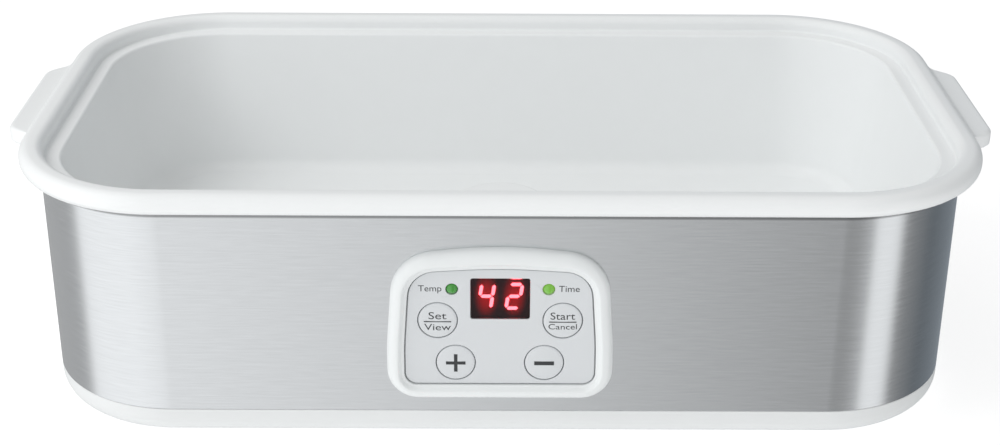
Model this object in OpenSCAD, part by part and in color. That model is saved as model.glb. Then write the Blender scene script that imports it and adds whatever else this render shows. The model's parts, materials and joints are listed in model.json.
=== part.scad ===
// Yogurt maker for eight jars, without its lid and jars.
// X runs along the length, Y from front to back, Z up. The origin lies on the table under
// the middle of the body. All sizes are in millimetres.

/* [Overall] */
// Length of the rim, without the grips
rim_length = 340; // [330:1:350]
// Width of the rim, front to back
rim_width = 195; // [190:1:200]
// Height of the rim's top above the table
total_height = 98; // [97:0.5:100]
// Corner radius of the rim, seen from above
rim_radius = 55.5; // [54:0.5:58]

/* [Rim and well] */
// Height of the rolled bead round the rim
bead_height = 7.7; // [7:0.1:8.5]
// Width of the bead
bead_width = 8.6; // [8:0.1:9]
// Depth of the lid's ledge under the bead's top
ledge_depth = 5.5; // [5:0.1:6]
// Width of the lid's ledge
ledge_width = 5.8; // [5.5:0.1:6]
// Height of the well's floor above the table
well_floor_z = 34.4; // [34:0.1:36]
// How far the well's wall leans in, from the ledge to the floor
well_draft = 9.7; // [8:0.1:10]
// Radius between the well's floor and its wall
well_fillet = 6; // [5:0.5:7]
// Wall of the moulded plastic
wall = 2.4; // [2.2:0.1:2.6]
// Radius of the sensor dome in the middle of the well
dome_radius = 18.5; // [17:0.5:19]
// Height of the sensor dome above the well's floor
dome_height = 19.3; // [17:0.1:20]

/* [Grips] */
// How far each grip stands out from the rim
grip_reach = 8.6; // [8:0.1:9]
// Half of the grip's straight outer edge
grip_half = 26; // [24:1:28]
// Height of the grip's top above the table
grip_top_z = 95.2; // [95:0.1:96]
// Height of the grip's outer lip
grip_height = 5.7; // [5.4:0.1:6]

/* [Steel band] */
// How far the band lies inside the rim's outer edge
band_inset = 7; // [6.8:0.1:7.1]
// Thickness of the sheet
band_sheet = 0.6; // [0.5:0.1:0.6]
// Height of the band's lower edge above the table
band_bottom_z = 13.4; // [13:0.1:14]
// Width of the seam at the back
seam_gap = 0.4; // [0.3:0.1:0.6]

/* [Base tray] */
// Height of the tray's underside above the table
base_bottom_z = 2.2; // [2:0.1:2.4]
// Radius between the tray's underside and its side
base_edge = 8; // [7.5:0.5:8]
// Height of the lip that stands inside the band
base_lip = 6.5; // [5:0.5:6.5]

/* [Control panel] */
// Half width of the bezel
bezel_half = 38.7; // [38.5:0.1:39]
// Height of the bezel's lower edge above the table
bezel_bottom_z = 19.8; // [19.5:0.1:20]
// Height of the bezel's arched top above the table
bezel_top_z = 77.3; // [77:0.1:78]
// How far the bezel stands out from the band
bezel_depth = 4.4; // [4.2:0.1:4.6]
// Half width of the face plate
face_half = 32.7; // [32.5:0.1:33]
// Height of the face plate's lower edge above the table
face_bottom_z = 25.3; // [25.2:0.1:25.4]
// Height of the face plate's arched top above the table
face_top_z = 70; // [69.8:0.1:70.2]
// How far the face plate stands out from the band
face_depth = 2.4; // [2.3:0.1:2.6]

/* [Keys] */
// Radius of a key's face
key_radius = 6.6; // [6.4:0.1:6.7]
// Gap round a key
key_gap = 0.3; // [0.25:0.05:0.35]
// How far a key travels when pressed
key_travel = 0.5; // [0.4:0.05:0.5]
// Distance of the upper keys from the middle
upper_key_x = 21.3; // [21:0.1:21.6]
// Height of the upper keys above the table
upper_key_z = 50.3; // [50:0.1:50.6]
// Distance of the lower keys from the middle
lower_key_x = 15.2; // [15:0.1:15.6]
// Height of the lower keys above the table
lower_key_z = 33.9; // [33.8:0.1:34]

/* [Display] */
// Width of the display window
window_width = 20; // [19:0.5:20]
// Height of the display window
window_height = 15.2; // [14:0.2:15.4]
// Height of the window's middle above the table
window_z = 58.6; // [58.4:0.1:58.8]
// Height of a digit
digit_height = 10.2; // [9.5:0.1:10.5]
// Width of a digit
digit_width = 5.4; // [5:0.1:5.6]
// Distance of the indicator lights from the middle
light_x = 16.4; // [16:0.1:16.6]
// Height of the indicator lights above the table
light_z = 62.2; // [62:0.1:62.4]
// Radius of an indicator light
light_radius = 2; // [1.8:0.1:2]

/* [Heater] */
// Half length of the heater plate
plate_half_x = 128; // [127:1:129]
// Half width of the heater plate
plate_half_y = 50; // [49:0.5:51]
// Thickness of the heater plate
plate_sheet = 1.2; // [1:0.1:1.2]
// Thickness of the heating cord
heat_cord = 3; // [2.8:0.1:3]
// Half length of the heating cord's straight runs
heat_run = 98; // [90:1:100]

/* [Boards] */
// Thickness of a circuit board
board_sheet = 1.6; // [1.5:0.1:1.6]
// Height of the power board's underside above the table
power_board_z = 9; // [8.8:0.1:9.2]

/* [Cord gland] */
// Distance of the gland from the middle, along the back
gland_x = 95; // [90:1:100]
// Height of the gland's bore above the table
gland_z = 33; // [32:0.5:34]
// Radius of the gland's bore
gland_bore = 3.6; // [3.4:0.1:3.8]

/* [Fasteners] */
// Radius of a case screw's shank
screw_radius = 1.5; // [1.4:0.1:1.5]
// Radius of a case screw's head
screw_head = 2.9; // [2.7:0.1:3]
// Radius of a rubber foot
foot_radius = 8; // [7:0.5:8.5]

/* [Hidden] */
$fn = 96;

// All shells share the same four corner centres
corner_x = rim_length / 2 - rim_radius;
corner_y = rim_width / 2 - rim_radius;

// Heights and distances from the corner centres, for the tub
bead_bottom_z = total_height - bead_height;
ledge_z = total_height - ledge_depth;
bead_in = rim_radius - bead_width;
mouth_in = bead_in - ledge_width;
floor_in = mouth_in - well_draft;
draft_angle = atan(well_draft / (ledge_z - well_floor_z));
floor_under_z = well_floor_z - wall;
fillet_in = floor_in - well_fillet * (1 - sin(draft_angle)) / cos(draft_angle);
bead_top_round = 3.6;
bead_inner_round = 3.2;
ledge_round = 0.8;
mouth_round = 1.2;
mouth_round_in = mouth_in + mouth_round * (1 - sin(draft_angle)) / cos(draft_angle);
skirt_wall = 1.8;
skirt_gap = 0.4;
skirt_bottom_z = 80;
grip_round = 8;
grip_sweep = 60;
grip_hollow = 10;
dome_draft = 1;
boss_radius = 4.5;

// Steel band
band_out = rim_radius - band_inset;
band_in = band_out - band_sheet;
band_front_y = -(corner_y + band_out);
band_back_y = corner_y + band_out;
band_top_z = ledge_z - wall - 0.3;
skirt_out = band_in - skirt_gap;
skirt_in = skirt_out - skirt_wall;
window_growth = 0.9;
cut_over = 2;
strip_width = 16;
strip_sheet = 0.5;
strip_height = 48;
strip_z = 30;

// Base tray
lip_out = band_in - 0.3;
lip_in = band_out - wall;
base_floor_z = base_bottom_z + wall;
edge_in = band_out - base_edge;
boss_split_z = 16;
counterbore_z = 6;
foot_recess = 1;
foot_spots = [for (sx = [-1, 1], sy = [-1, 1]) [sx * 128, sy * 56]];
screw_spots = [for (sx = [-1, 0, 1], sy = [-1, 1]) [sx * 110, sy * 59]];

// Control panel, seen from the front as (x, z) outlines
face_front_y = band_front_y - face_depth;
face_sheet = 1.9;
face_back_y = face_front_y + face_sheet;
bezel_corners = [
  [bezel_half + 0.2, bezel_bottom_z, 11],
  [bezel_half + 0.2, bezel_bottom_z + 20, 120],
  [bezel_half - 2.4, bezel_top_z - 3.4, 16],
  [0, bezel_top_z + 0.9, 150]
];
fit_gap = 0.15;
seat_width = 0.8;
plug_back_y = band_front_y + 1.2;
plug_growth = 0.5;
backplate_front_y = band_front_y + band_sheet + 0.2;
backplate_sheet = 1.5;
backplate_back_y = backplate_front_y + backplate_sheet;
backplate_half = 38;
backplate_bottom_z = 20.5;
backplate_top_z = 77;
backplate_open_half = 30;
backplate_open_bottom_z = 27;
backplate_open_top_z = 68.5;
panel_screw_spots = [for (sx = [-1, 1], z = [31, 59]) [sx * 35.6, z]];
panel_screw_radius = 1.1;
panel_screw_head = 2;
panel_screw_head_height = 1.3;
panel_screw_reach = 3;

// Keys
key_spots = [
  [-upper_key_x, upper_key_z], [upper_key_x, upper_key_z],
  [-lower_key_x, lower_key_z], [lower_key_x, lower_key_z]
];
key_proud = 0.3;
key_flange_radius = 7.2;
key_flange_sheet = 0.8;
key_flange_gap = 0.1;
key_stem_radius = 2;
key_stem_tip_y = band_front_y + 1.6;
switch_gap = 0.05;

// Display and indicator lights
window_lip = 1;
window_lip_sheet = 0.6;
module_front_y = face_back_y + window_lip_sheet + 0.4;
segment_width = 1.25;
segment_gap = 0.3;
segment_slant = 8;
segment_sheet = 0.3;
digit_x = 4.75;
light_proud = 0.5;

// Control board
control_board_y = band_front_y + 5.9;
control_board_half = 35;
control_board_bottom_z = 22;
control_board_top_z = 72;
control_board_spots = [for (sx = [-1, 1], z = [24.5, 65]) [sx * 32.5, z]];
board_post_radius = 1.9;
board_screw_radius = 0.9;
board_screw_head = 1.7;
board_screw_head_height = 1.1;
switch_body = 6;
switch_height = 3;
switch_button = 1.7;
connector_bottom_z = 25;
connector_height = 6;
connector_depth = 5;
connector_y = control_board_y + board_sheet + connector_depth / 2;
sensor_plug_x = -14;
sensor_lead_z = 20;
sensor_lead_radius = 0.9;
link_plug_x = -20;
connector_x = [-24, -10];
control_chip_x = [-8, 4];
control_chip_z = [40, 48];
control_chip_height = 1.6;
buzzer_spot = [20, 32];
buzzer_radius = 4.5;
buzzer_height = 4.5;
link_radius = 1.6;
bend_ball = 1.5;

// Heater
plate_z = floor_under_z - plate_sheet;
heat_cord_z = plate_z - heat_cord / 2;
pad_sheet = 3;
pad_z = plate_z - heat_cord - pad_sheet;
row_pitch = 10;
row_first_y = 25;
dome_hole = dome_radius + 2;
pad_slot_left = 66;
pad_slot_right = 24;
pad_slot_half = 19;
lead_drop_x = -heat_run - 6;
lead_row_y = row_first_y + 2 * row_pitch;
lead_radius = 1.1;

// Sensors
dome_under_z = floor_under_z + dome_height;
sensor_radius = 2.5;
sensor_bottom_z = 36;
sensor_holder_z = 40;
thermal_radius = 2;
fuse_x = 44;
clip_sheet = 0.5;
clip_half = 3;
clip_foot = 5;
thermal_fuse_length = 12;
sensor_holder_height = 4;
sensor_holder_gap = 0.3;

// Power board
lead_z = 14;
lead_end = [35, 22];
lead_spread = 8;
link_turn_y = -40;
link_high_z = lead_z + 5;
link_end = [40, 8];
relay_height = 12;
relay_low = [42, 24];
relay_high = [57, 43];
core_low = [44, 4];
core_high = [60, 18];
core_height = 4;
winding_low = [47, 6];
winding_high = [57, 16];
capacitor_spot = [72, 12];
capacitor_radius = 4;
glass_fuse_spot = [66, 27];
glass_fuse_radius = 2.6;
glass_fuse_length = 22;
glass_fuse_lift = 4;
fuse_holder_x = [68, 86];
fuse_holder_half = [1, 3];
terminal_low = [84, 34];
terminal_high = [98, 44];
terminal_height = 10;
terminal_hole_x = [87.5, 94.5];
terminal_hole_radius = 1.6;
terminal_screw_y = 38;
terminal_screw_depth = 3;
terminal_wire_z = 4;
terminal_wire_depth = 4;
power_board_x = [32, 106];
power_board_y = [-4, 48];
power_board_top_z = power_board_z + board_sheet;
power_board_spots = [for (x = [36, 102], y = [0, 44]) [x, y]];

// Cord gland
gland_flange_radius = 8;
gland_flange_sheet = 2;
gland_body_radius = 5.6;
gland_nut_radius = 8.5;
gland_nut_sheet = 3;
gland_length = 9;

// Points of an arc round a centre, from one angle to another
function arc(centre, radius, from, to, steps = 8) = [
  for (i = [0:steps])
    let (a = from + (to - from) * i / steps)
    centre + radius * [cos(a), sin(a)]
];

function unit(v) = v / norm(v);

// Points that round one corner of an outline, for edges that reach it along a and leave it along b
function rounded(corner, a, b, radius, steps = 10) =
  let (turn = acos(a * b), side = a[0] * b[1] - a[1] * b[0] > 0 ? 1 : -1)
  let (start = corner - a * radius * tan(turn / 2), centre = start + side * radius * [-a[1], a[0]])
  let (first = atan2(start[1] - centre[1], start[0] - centre[0]))
  arc(centre, radius, first, first + side * turn, steps);

// Closed outline with a rounded corner at every [x, z, radius]
function rounded_outline(corners) = [
  for (i = [0:len(corners) - 1])
    let (n = len(corners), last = corners[(i + n - 1) % n], this = corners[i], next = corners[(i + 1) % n])
    let (p = [last[0], last[1]], q = [this[0], this[1]], r = [next[0], next[1]])
    each rounded(q, unit(q - p), unit(r - q), this[2])
];

// Both halves of a shape whose right half is given from the bottom corner to the top
function mirrored(half) = concat(
  half,
  [for (i = [len(half) - 2:-1:0]) [-half[i][0], half[i][1], half[i][2]]]
);

// Right half of the face plate's outline, drawn smaller by an inset
function face_corners(inset) = [
  [face_half + 0.1 - inset, face_bottom_z + inset, 4.5],
  [face_half + 0.1 - inset, face_bottom_z + 15, 120],
  [face_half - 1.9 - inset, face_top_z - 1.4 - inset, 10],
  [0, face_top_z + 0.5 - inset, 200]
];

// Sweeps a profile round the four corners and along the four sides.
// The profile's first axis is the distance from the corner centres, its second is the height.
module wrap() {
  for (q = [0:3])
    translate([corner_x * (q == 0 || q == 3 ? 1 : -1), corner_y * (q < 2 ? 1 : -1), 0])
      rotate([0, 0, 90 * q])
        rotate_extrude(angle = 90)
          children();
  for (turn = [0, 180]) {
    rotate([0, 0, turn])
      translate([-corner_x, corner_y, 0])
        rotate([90, 0, 90])
          linear_extrude(2 * corner_x)
            children();
    rotate([0, 0, turn - 90])
      translate([-corner_y, corner_x, 0])
        rotate([90, 0, 90])
          linear_extrude(2 * corner_y)
            children();
  }
}

// Fills the space between the four corner centres
module core(bottom_z, thickness) {
  translate([-corner_x, -corner_y, bottom_z])
    cube([2 * corner_x, 2 * corner_y, thickness]);
}

// Extrudes an (x, z) outline towards the front, from a back face at y
module facing(y, depth) {
  translate([0, y, 0])
    rotate([90, 0, 0])
      linear_extrude(depth)
        children();
}

// Rod along the front-to-back direction, from its front face towards the back
module rod_y(x, y, z, radius, length) {
  translate([x, y, z])
    rotate([-90, 0, 0])
      cylinder(r = radius, h = length);
}

// Box given by its lowest and highest corners
module block(low, high) {
  translate(low)
    cube(high - low);
}

// Wire through a list of points, with a ball at each bend that is thick enough to hold the bend's corner
module wire(points, radius) {
  for (i = [0:len(points) - 2]) {
    run = points[i + 1] - points[i];
    translate(points[i])
      rotate([0, acos(run[2] / norm(run)), atan2(run[1], run[0])])
        cylinder(r = radius, h = norm(run), $fn = 24);
  }
  for (i = [1:len(points) - 2])
    translate(points[i])
      sphere(r = radius * bend_ball, $fn = 24);
}

module tub_profile() {
  fillet = [fillet_in, well_floor_z + well_fillet];
  wall_under_ledge = mouth_in + (wall - wall * sin(draft_angle)) / cos(draft_angle);
  polygon(concat(
    [[0, floor_under_z], [0, well_floor_z]],
    arc(fillet, well_fillet, -90, -draft_angle),
    arc([mouth_round_in, ledge_z - mouth_round], mouth_round, 180 - draft_angle, 90, 5),
    arc([bead_in - ledge_round, ledge_z + ledge_round], ledge_round, -90, 0, 4),
    arc([bead_in + bead_inner_round, total_height - bead_inner_round], bead_inner_round, 180, 90),
    arc([rim_radius - bead_top_round, total_height - bead_top_round], bead_top_round, 90, 0),
    arc([rim_radius - wall / 2, bead_bottom_z + wall / 2], wall / 2, 0, -180, 10),
    [
      [rim_radius - wall, total_height - wall - 1],
      [rim_radius - wall - 1, total_height - wall],
      [bead_in + wall + 1, total_height - wall],
      [bead_in + wall, total_height - wall - 1],
      [bead_in + wall, ledge_z - wall],
      [skirt_out, ledge_z - wall],
      [skirt_out, skirt_bottom_z],
      [skirt_in, skirt_bottom_z],
      [skirt_in, ledge_z - wall],
      [wall_under_ledge, ledge_z - wall]
    ],
    arc(fillet, well_fillet + wall, -draft_angle, -90)
  ));
}

// Outline of the right-hand grip, drawn smaller by an inset
module grip_outline(inset) {
  edge_x = rim_length / 2 + grip_reach;
  convex = [edge_x - grip_round, grip_half];
  concave = convex + (grip_round + grip_hollow) * [cos(grip_sweep), sin(grip_sweep)];
  upper = concat(
    arc(convex, grip_round - inset, 0, grip_sweep),
    arc(concave, grip_hollow + inset, 180 + grip_sweep, 180),
    [[rim_length / 2 - 2 * wall, concave[1]]]
  );
  lower = [for (i = [len(upper) - 1:-1:0]) [upper[i][0], -upper[i][1]]];
  polygon(concat(upper, lower));
}

module grip() {
  difference() {
    translate([0, 0, grip_top_z - grip_height])
      linear_extrude(grip_height)
        grip_outline(0);
    translate([0, 0, grip_top_z - grip_height - 1])
      linear_extrude(grip_height + 1 - wall)
        difference() {
          grip_outline(wall);
          translate([rim_length / 2 - 3 * wall, -rim_width / 2])
            square([3 * wall, rim_width]);
        }
  }
}

module dome() {
  translate([0, 0, floor_under_z])
    difference() {
      cylinder(r1 = dome_radius + dome_draft, r2 = dome_radius, h = dome_height + wall);
      translate([0, 0, -1])
        cylinder(r1 = dome_radius + dome_draft - wall, r2 = dome_radius - wall, h = dome_height + 1);
    }
}

module tub() color("#f2f4f4") {
  difference() {
    union() {
      wrap() tub_profile();
      core(floor_under_z, wall);
      grip();
      mirror([1, 0, 0]) grip();
      for (p = screw_spots)
        translate([p[0], p[1], boss_split_z])
          cylinder(r = boss_radius, h = floor_under_z - boss_split_z + wall / 2);
    }
    translate([0, 0, floor_under_z - 1])
      cylinder(r = dome_radius + dome_draft - wall, h = wall + 2);
    for (p = screw_spots)
      translate([p[0], p[1], boss_split_z - 1])
        cylinder(r = screw_radius - 0.2, h = floor_under_z - boss_split_z);
  }
  dome();
}

module steel_band() color("#b9bdbf") {
  difference() {
    wrap()
      translate([band_in, band_bottom_z])
        square([band_sheet, band_top_z - band_bottom_z]);
    facing(band_front_y + cut_over, 2 * cut_over) face_outline(-window_growth);
    for (p = panel_screw_spots)
      rod_y(p[0], band_front_y - cut_over, p[1], panel_screw_radius + 0.3, 2 * cut_over);
    rod_y(gland_x, band_back_y - cut_over, gland_z, gland_body_radius + 0.2, 2 * cut_over);
    block(
      [-seam_gap / 2, band_back_y - cut_over, band_bottom_z - 1],
      [seam_gap / 2, band_back_y + cut_over, total_height]
    );
  }
}

module band_joint_strip() color("#9aa0a3")
  block(
    [-strip_width / 2, band_back_y - band_sheet - strip_sheet, strip_z],
    [strip_width / 2, band_back_y - band_sheet, strip_z + strip_height]
  );

module base_profile() {
  polygon(concat(
    [[0, base_floor_z], [0, base_bottom_z]],
    arc([edge_in, base_bottom_z + base_edge], base_edge, -90, 0),
    [
      [band_out, band_bottom_z],
      [lip_out, band_bottom_z],
      [lip_out, band_bottom_z + base_lip],
      [lip_in, band_bottom_z + base_lip]
    ],
    arc([edge_in, base_bottom_z + base_edge], base_edge - wall, 0, -90)
  ));
}

module base_tray() color("#eef0f0") {
  difference() {
    union() {
      wrap() base_profile();
      core(base_bottom_z, wall);
      for (p = screw_spots)
        translate([p[0], p[1], base_bottom_z + wall / 2])
          cylinder(r = boss_radius, h = boss_split_z - base_bottom_z - wall / 2);
      for (p = power_board_spots)
        translate([p[0], p[1], base_bottom_z + wall / 2])
          cylinder(r = 3, h = power_board_z - base_bottom_z - wall / 2);
    }
    for (p = screw_spots) {
      translate([p[0], p[1], 0])
        cylinder(r = screw_radius + 0.2, h = boss_split_z + 1);
      translate([p[0], p[1], 0])
        cylinder(r = screw_head + 0.3, h = counterbore_z);
    }
    for (p = power_board_spots)
      translate([p[0], p[1], base_floor_z])
        cylinder(r = board_screw_radius, h = power_board_z);
    for (p = foot_spots)
      translate([p[0], p[1], 0])
        cylinder(r = foot_radius, h = base_bottom_z + foot_recess);
  }
}

module rubber_feet() color("#5c6063")
  for (p = foot_spots)
    translate([p[0], p[1], 0])
      cylinder(r = foot_radius, h = base_bottom_z + foot_recess);

// Screw with a cross-slotted pan head that points down and a shank that rises from it
module screw_up(shank_radius, head_radius, head_height, shank_length) {
  slot = head_radius * 0.35;
  difference() {
    cylinder(r = head_radius, h = head_height);
    for (turn = [0, 90])
      rotate([0, 0, turn])
        translate([-head_radius * 0.65, -slot / 2, -1])
          cube([head_radius * 1.3, slot, 1 + head_height * 0.6]);
  }
  translate([0, 0, head_height])
    cylinder(r = shank_radius, h = shank_length);
}

module base_screws() color("#8d9295")
  for (p = screw_spots)
    translate([p[0], p[1], counterbore_z - 2])
      screw_up(screw_radius - 0.3, screw_head, 2, 20);

module rating_plate() color("#d9dcdd")
  block([-32, -18, base_bottom_z - 0.2], [32, 18, base_bottom_z]);

module bezel_outline()
  polygon(rounded_outline(mirrored(bezel_corners)));

module face_outline(inset)
  polygon(rounded_outline(mirrored(face_corners(inset))));

module control_bezel() color("#f6f7f7")
  difference() {
    union() {
      facing(band_front_y, bezel_depth) bezel_outline();
      facing(plug_back_y, plug_back_y - band_front_y + 1) face_outline(-plug_growth);
    }
    facing(band_front_y, bezel_depth + 1) face_outline(0);
    facing(plug_back_y + 1, bezel_depth + 4) face_outline(seat_width);
    facing(face_back_y, bezel_depth + 4) face_outline(0);
    for (p = panel_screw_spots)
      rod_y(p[0], band_front_y - panel_screw_reach, p[1], panel_screw_radius, 10);
  }

module face_plate() color("#dde0e1")
  difference() {
    facing(face_back_y, face_sheet) face_outline(fit_gap);
    for (sx = [-1, 1]) {
      rod_y(sx * upper_key_x, face_front_y - 1, upper_key_z, key_radius + key_gap, 4);
      rod_y(sx * lower_key_x, face_front_y - 1, lower_key_z, key_radius + key_gap, 4);
      rod_y(sx * light_x, face_front_y - 1, light_z, light_radius + 0.1, 4);
    }
    facing(face_back_y + 1, face_sheet + 2)
      translate([0, window_z])
        square([window_width + 0.2, window_height + 0.2], center = true);
  }

module panel_backplate() color("#c9cccd") {
  difference() {
    facing(backplate_back_y, backplate_sheet)
      polygon(rounded_outline([
        [backplate_half, backplate_bottom_z, 8],
        [backplate_half, backplate_top_z, 14],
        [-backplate_half, backplate_top_z, 14],
        [-backplate_half, backplate_bottom_z, 8]
      ]));
    block(
      [-backplate_open_half, band_front_y, backplate_open_bottom_z],
      [backplate_open_half, 0, backplate_open_top_z]
    );
    facing(plug_back_y + fit_gap, 4) face_outline(-window_growth);
    for (p = panel_screw_spots)
      rod_y(p[0], band_front_y, p[1], panel_screw_radius + 0.2, 6);
  }
  for (p = control_board_spots)
    rod_y(p[0], backplate_back_y, p[1], board_post_radius, control_board_y - backplate_back_y);
}

// Screw along the front-to-back direction, whose head sits behind y and whose shank runs forwards
module screw_forward(x, y, z, shank_radius, head_radius, head_height, shank_length)
  translate([x, y + head_height, z])
    rotate([90, 0, 0])
      screw_up(shank_radius, head_radius, head_height, shank_length);

module panel_screws() color("#8d9295")
  for (p = panel_screw_spots)
    screw_forward(
      p[0], backplate_back_y, p[1], panel_screw_radius - 0.1, panel_screw_head, panel_screw_head_height,
      backplate_back_y - band_front_y + panel_screw_reach - 0.3
    );

module display_window() color("#2a0d0f") {
  facing(face_back_y, face_sheet)
    translate([0, window_z])
      square([window_width, window_height], center = true);
  facing(face_back_y + window_lip_sheet, window_lip_sheet)
    translate([0, window_z])
      square([window_width + 2 * window_lip, window_height + 2 * window_lip], center = true);
}

module display_module() color("#1c1c1e")
  block(
    [-window_width / 2, module_front_y, window_z - window_height / 2],
    [window_width / 2, control_board_y, window_z + window_height / 2]
  );

// Segment of a digit between two points given in half widths and half heights of the digit
module segment(from, to) {
  a = [from[0] * (digit_width - segment_width) / 2, from[1] * (digit_height - segment_width) / 2];
  b = [to[0] * (digit_width - segment_width) / 2, to[1] * (digit_height - segment_width) / 2];
  run = norm(b - a) - segment_gap;
  tip = segment_width / 2;
  lean = tan(segment_slant);
  points = [
    [0, 0], [tip, tip], [run - tip, tip], [run, 0], [run - tip, -tip], [tip, -tip]
  ];
  along = unit(b - a);
  polygon([
    for (p = points)
      let (q = a + along * (p[0] + segment_gap / 2) + [-along[1], along[0]] * p[1])
      [q[0] + q[1] * lean, q[1]]
  ]);
}

// Seven-segment figures as lists of segment ends
segments_four = [[[-1, 1], [-1, 0]], [[-1, 0], [1, 0]], [[1, 1], [1, 0]], [[1, 0], [1, -1]]];
segments_two = [
  [[-1, 1], [1, 1]], [[1, 1], [1, 0]], [[-1, 0], [1, 0]], [[-1, 0], [-1, -1]], [[-1, -1], [1, -1]]
];

module digit(x, segments)
  for (s = segments)
    facing(module_front_y, segment_sheet)
      translate([x, window_z])
        segment(s[0], s[1]);

module display_digits() color("#ff5a5a") {
  digit(-digit_x, segments_four);
  digit(digit_x, segments_two);
}

module indicator_lights() color("#4db35a")
  for (sx = [-1, 1]) {
    dome_y = face_front_y - light_proud + light_radius;
    rod_y(sx * light_x, dome_y, light_z, light_radius, control_board_y - dome_y);
    translate([sx * light_x, dome_y, light_z])
      sphere(r = light_radius);
    rod_y(sx * light_x, control_board_y - 1, light_z, light_radius + 0.4, 1);
  }

// Round key with a retaining flange behind the face plate and a stem towards its switch
module key(x, z) {
  flange_y = face_back_y + key_flange_gap;
  rod_y(x, face_front_y - key_proud, z, key_radius, flange_y - face_front_y + key_proud);
  rod_y(x, flange_y, z, key_flange_radius, key_flange_sheet);
  rod_y(x, flange_y, z, key_stem_radius, key_stem_tip_y - flange_y);
}

module key_set_view() color("#e4e7e8") key(-upper_key_x, upper_key_z);

module key_start_cancel() color("#e4e7e8") key(upper_key_x, upper_key_z);

module key_plus() color("#e4e7e8") key(-lower_key_x, lower_key_z);

module key_minus() color("#e4e7e8") key(lower_key_x, lower_key_z);

module control_board() color("#2f6b45")
  difference() {
    block(
      [-control_board_half, control_board_y, control_board_bottom_z],
      [control_board_half, control_board_y + board_sheet, control_board_top_z]
    );
    for (p = control_board_spots)
      rod_y(p[0], control_board_y - 1, p[1], board_screw_radius + 0.2, board_sheet + 2);
  }

module control_board_screws() color("#8d9295")
  for (p = control_board_spots)
    screw_forward(
      p[0], control_board_y + board_sheet, p[1], board_screw_radius, board_screw_head,
      board_screw_head_height, board_sheet
    );

module tact_switches() color("#34373a")
  for (p = key_spots) {
    body_y = control_board_y - switch_height;
    block(
      [p[0] - switch_body / 2, body_y, p[1] - switch_body / 2],
      [p[0] + switch_body / 2, control_board_y, p[1] + switch_body / 2]
    );
    tip_y = key_stem_tip_y + key_travel + switch_gap;
    rod_y(p[0], tip_y, p[1], switch_button, body_y - tip_y);
  }

module control_chip() color("#26282a") {
  back_y = control_board_y + board_sheet;
  block(
    [control_chip_x[0], back_y, control_chip_z[0]],
    [control_chip_x[1], back_y + control_chip_height, control_chip_z[1]]
  );
}

module buzzer() color("#1f2123")
  rod_y(buzzer_spot[0], control_board_y + board_sheet, buzzer_spot[1], buzzer_radius, buzzer_height);

module board_connector() color("#e8e3d2") {
  back_y = control_board_y + board_sheet;
  block(
    [connector_x[0], back_y, connector_bottom_z],
    [connector_x[1], back_y + connector_depth, connector_bottom_z + connector_height]
  );
}

module heater_plate() color("#c2c6c8")
  difference() {
    translate([0, 0, plate_z])
      block([-plate_half_x, -plate_half_y, 0], [plate_half_x, plate_half_y, plate_sheet]);
    translate([0, 0, plate_z - 1])
      cylinder(r = dome_hole, h = plate_sheet + 2);
  }

// Half turn of the heating cord at the end of two straight runs
module heat_bend(x, y, radius, turn)
  translate([x, y, heat_cord_z])
    rotate([0, 0, turn])
      rotate_extrude(angle = 180)
        translate([radius, 0])
          circle(r = heat_cord / 2);

module heating_cord() color("#c9573a") {
  rows = [for (k = [0:2]) row_first_y + row_pitch * k];
  for (y = rows, side = [-1, 1])
    translate([-heat_run, side * y, heat_cord_z])
      rotate([0, 90, 0])
        cylinder(r = heat_cord / 2, h = 2 * heat_run);
  heat_bend(heat_run, 0, row_first_y, -90);
  for (side = [-1, 1]) {
    heat_bend(-heat_run, side * (row_first_y + row_pitch / 2), row_pitch / 2, 90);
    heat_bend(heat_run, side * (row_first_y + row_pitch * 1.5), row_pitch / 2, -90);
  }
}

module insulation_pad() color("#d8d2c0")
  difference() {
    block(
      [-plate_half_x + 4, -plate_half_y, pad_z],
      [plate_half_x, plate_half_y, pad_z + pad_sheet]
    );
    block(
      [-pad_slot_left, -pad_slot_half, pad_z - 1],
      [pad_slot_right, pad_slot_half, pad_z + pad_sheet + 1]
    );
    for (side = [-1, 1])
      translate([lead_drop_x, side * lead_row_y, pad_z - 1])
        cylinder(r = 2 * lead_radius, h = pad_sheet + 2);
  }

module temperature_sensor() color("#3c3f42")
  translate([0, 0, sensor_bottom_z])
    cylinder(r = sensor_radius, h = dome_under_z - sensor_bottom_z);

module sensor_holder() color("#d5d8d9")
  translate([0, 0, sensor_holder_z])
    difference() {
      cylinder(r = dome_radius - wall - sensor_holder_gap, h = sensor_holder_height);
      translate([0, 0, -1])
        cylinder(r = sensor_radius + 0.1, h = sensor_holder_height + 2);
    }

module thermal_fuse() color("#c8c2b4")
  translate([-fuse_x - thermal_fuse_length / 2, 0, plate_z - thermal_radius - 0.1])
    rotate([0, 90, 0])
      cylinder(r = thermal_radius, h = thermal_fuse_length);

module fuse_clip() color("#a9aeb1") {
  arch = thermal_radius + 0.1;
  axis_z = plate_z - arch;
  difference() {
    union() {
      translate([-fuse_x - clip_half, 0, axis_z])
        rotate([0, 90, 0])
          cylinder(r = arch + clip_sheet, h = 2 * clip_half);
      block(
        [-fuse_x - clip_half, -arch - clip_sheet, axis_z],
        [-fuse_x + clip_half, arch + clip_sheet, plate_z]
      );
      block(
        [-fuse_x - clip_half, -arch - clip_foot, plate_z - clip_sheet],
        [-fuse_x + clip_half, arch + clip_foot, plate_z]
      );
    }
    translate([-fuse_x - clip_half - 1, 0, axis_z])
      rotate([0, 90, 0])
        cylinder(r = arch, h = 2 * clip_half + 2);
    block([-fuse_x - clip_half - 1, -arch, axis_z], [-fuse_x + clip_half + 1, arch, plate_z + 1]);
  }
}

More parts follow.
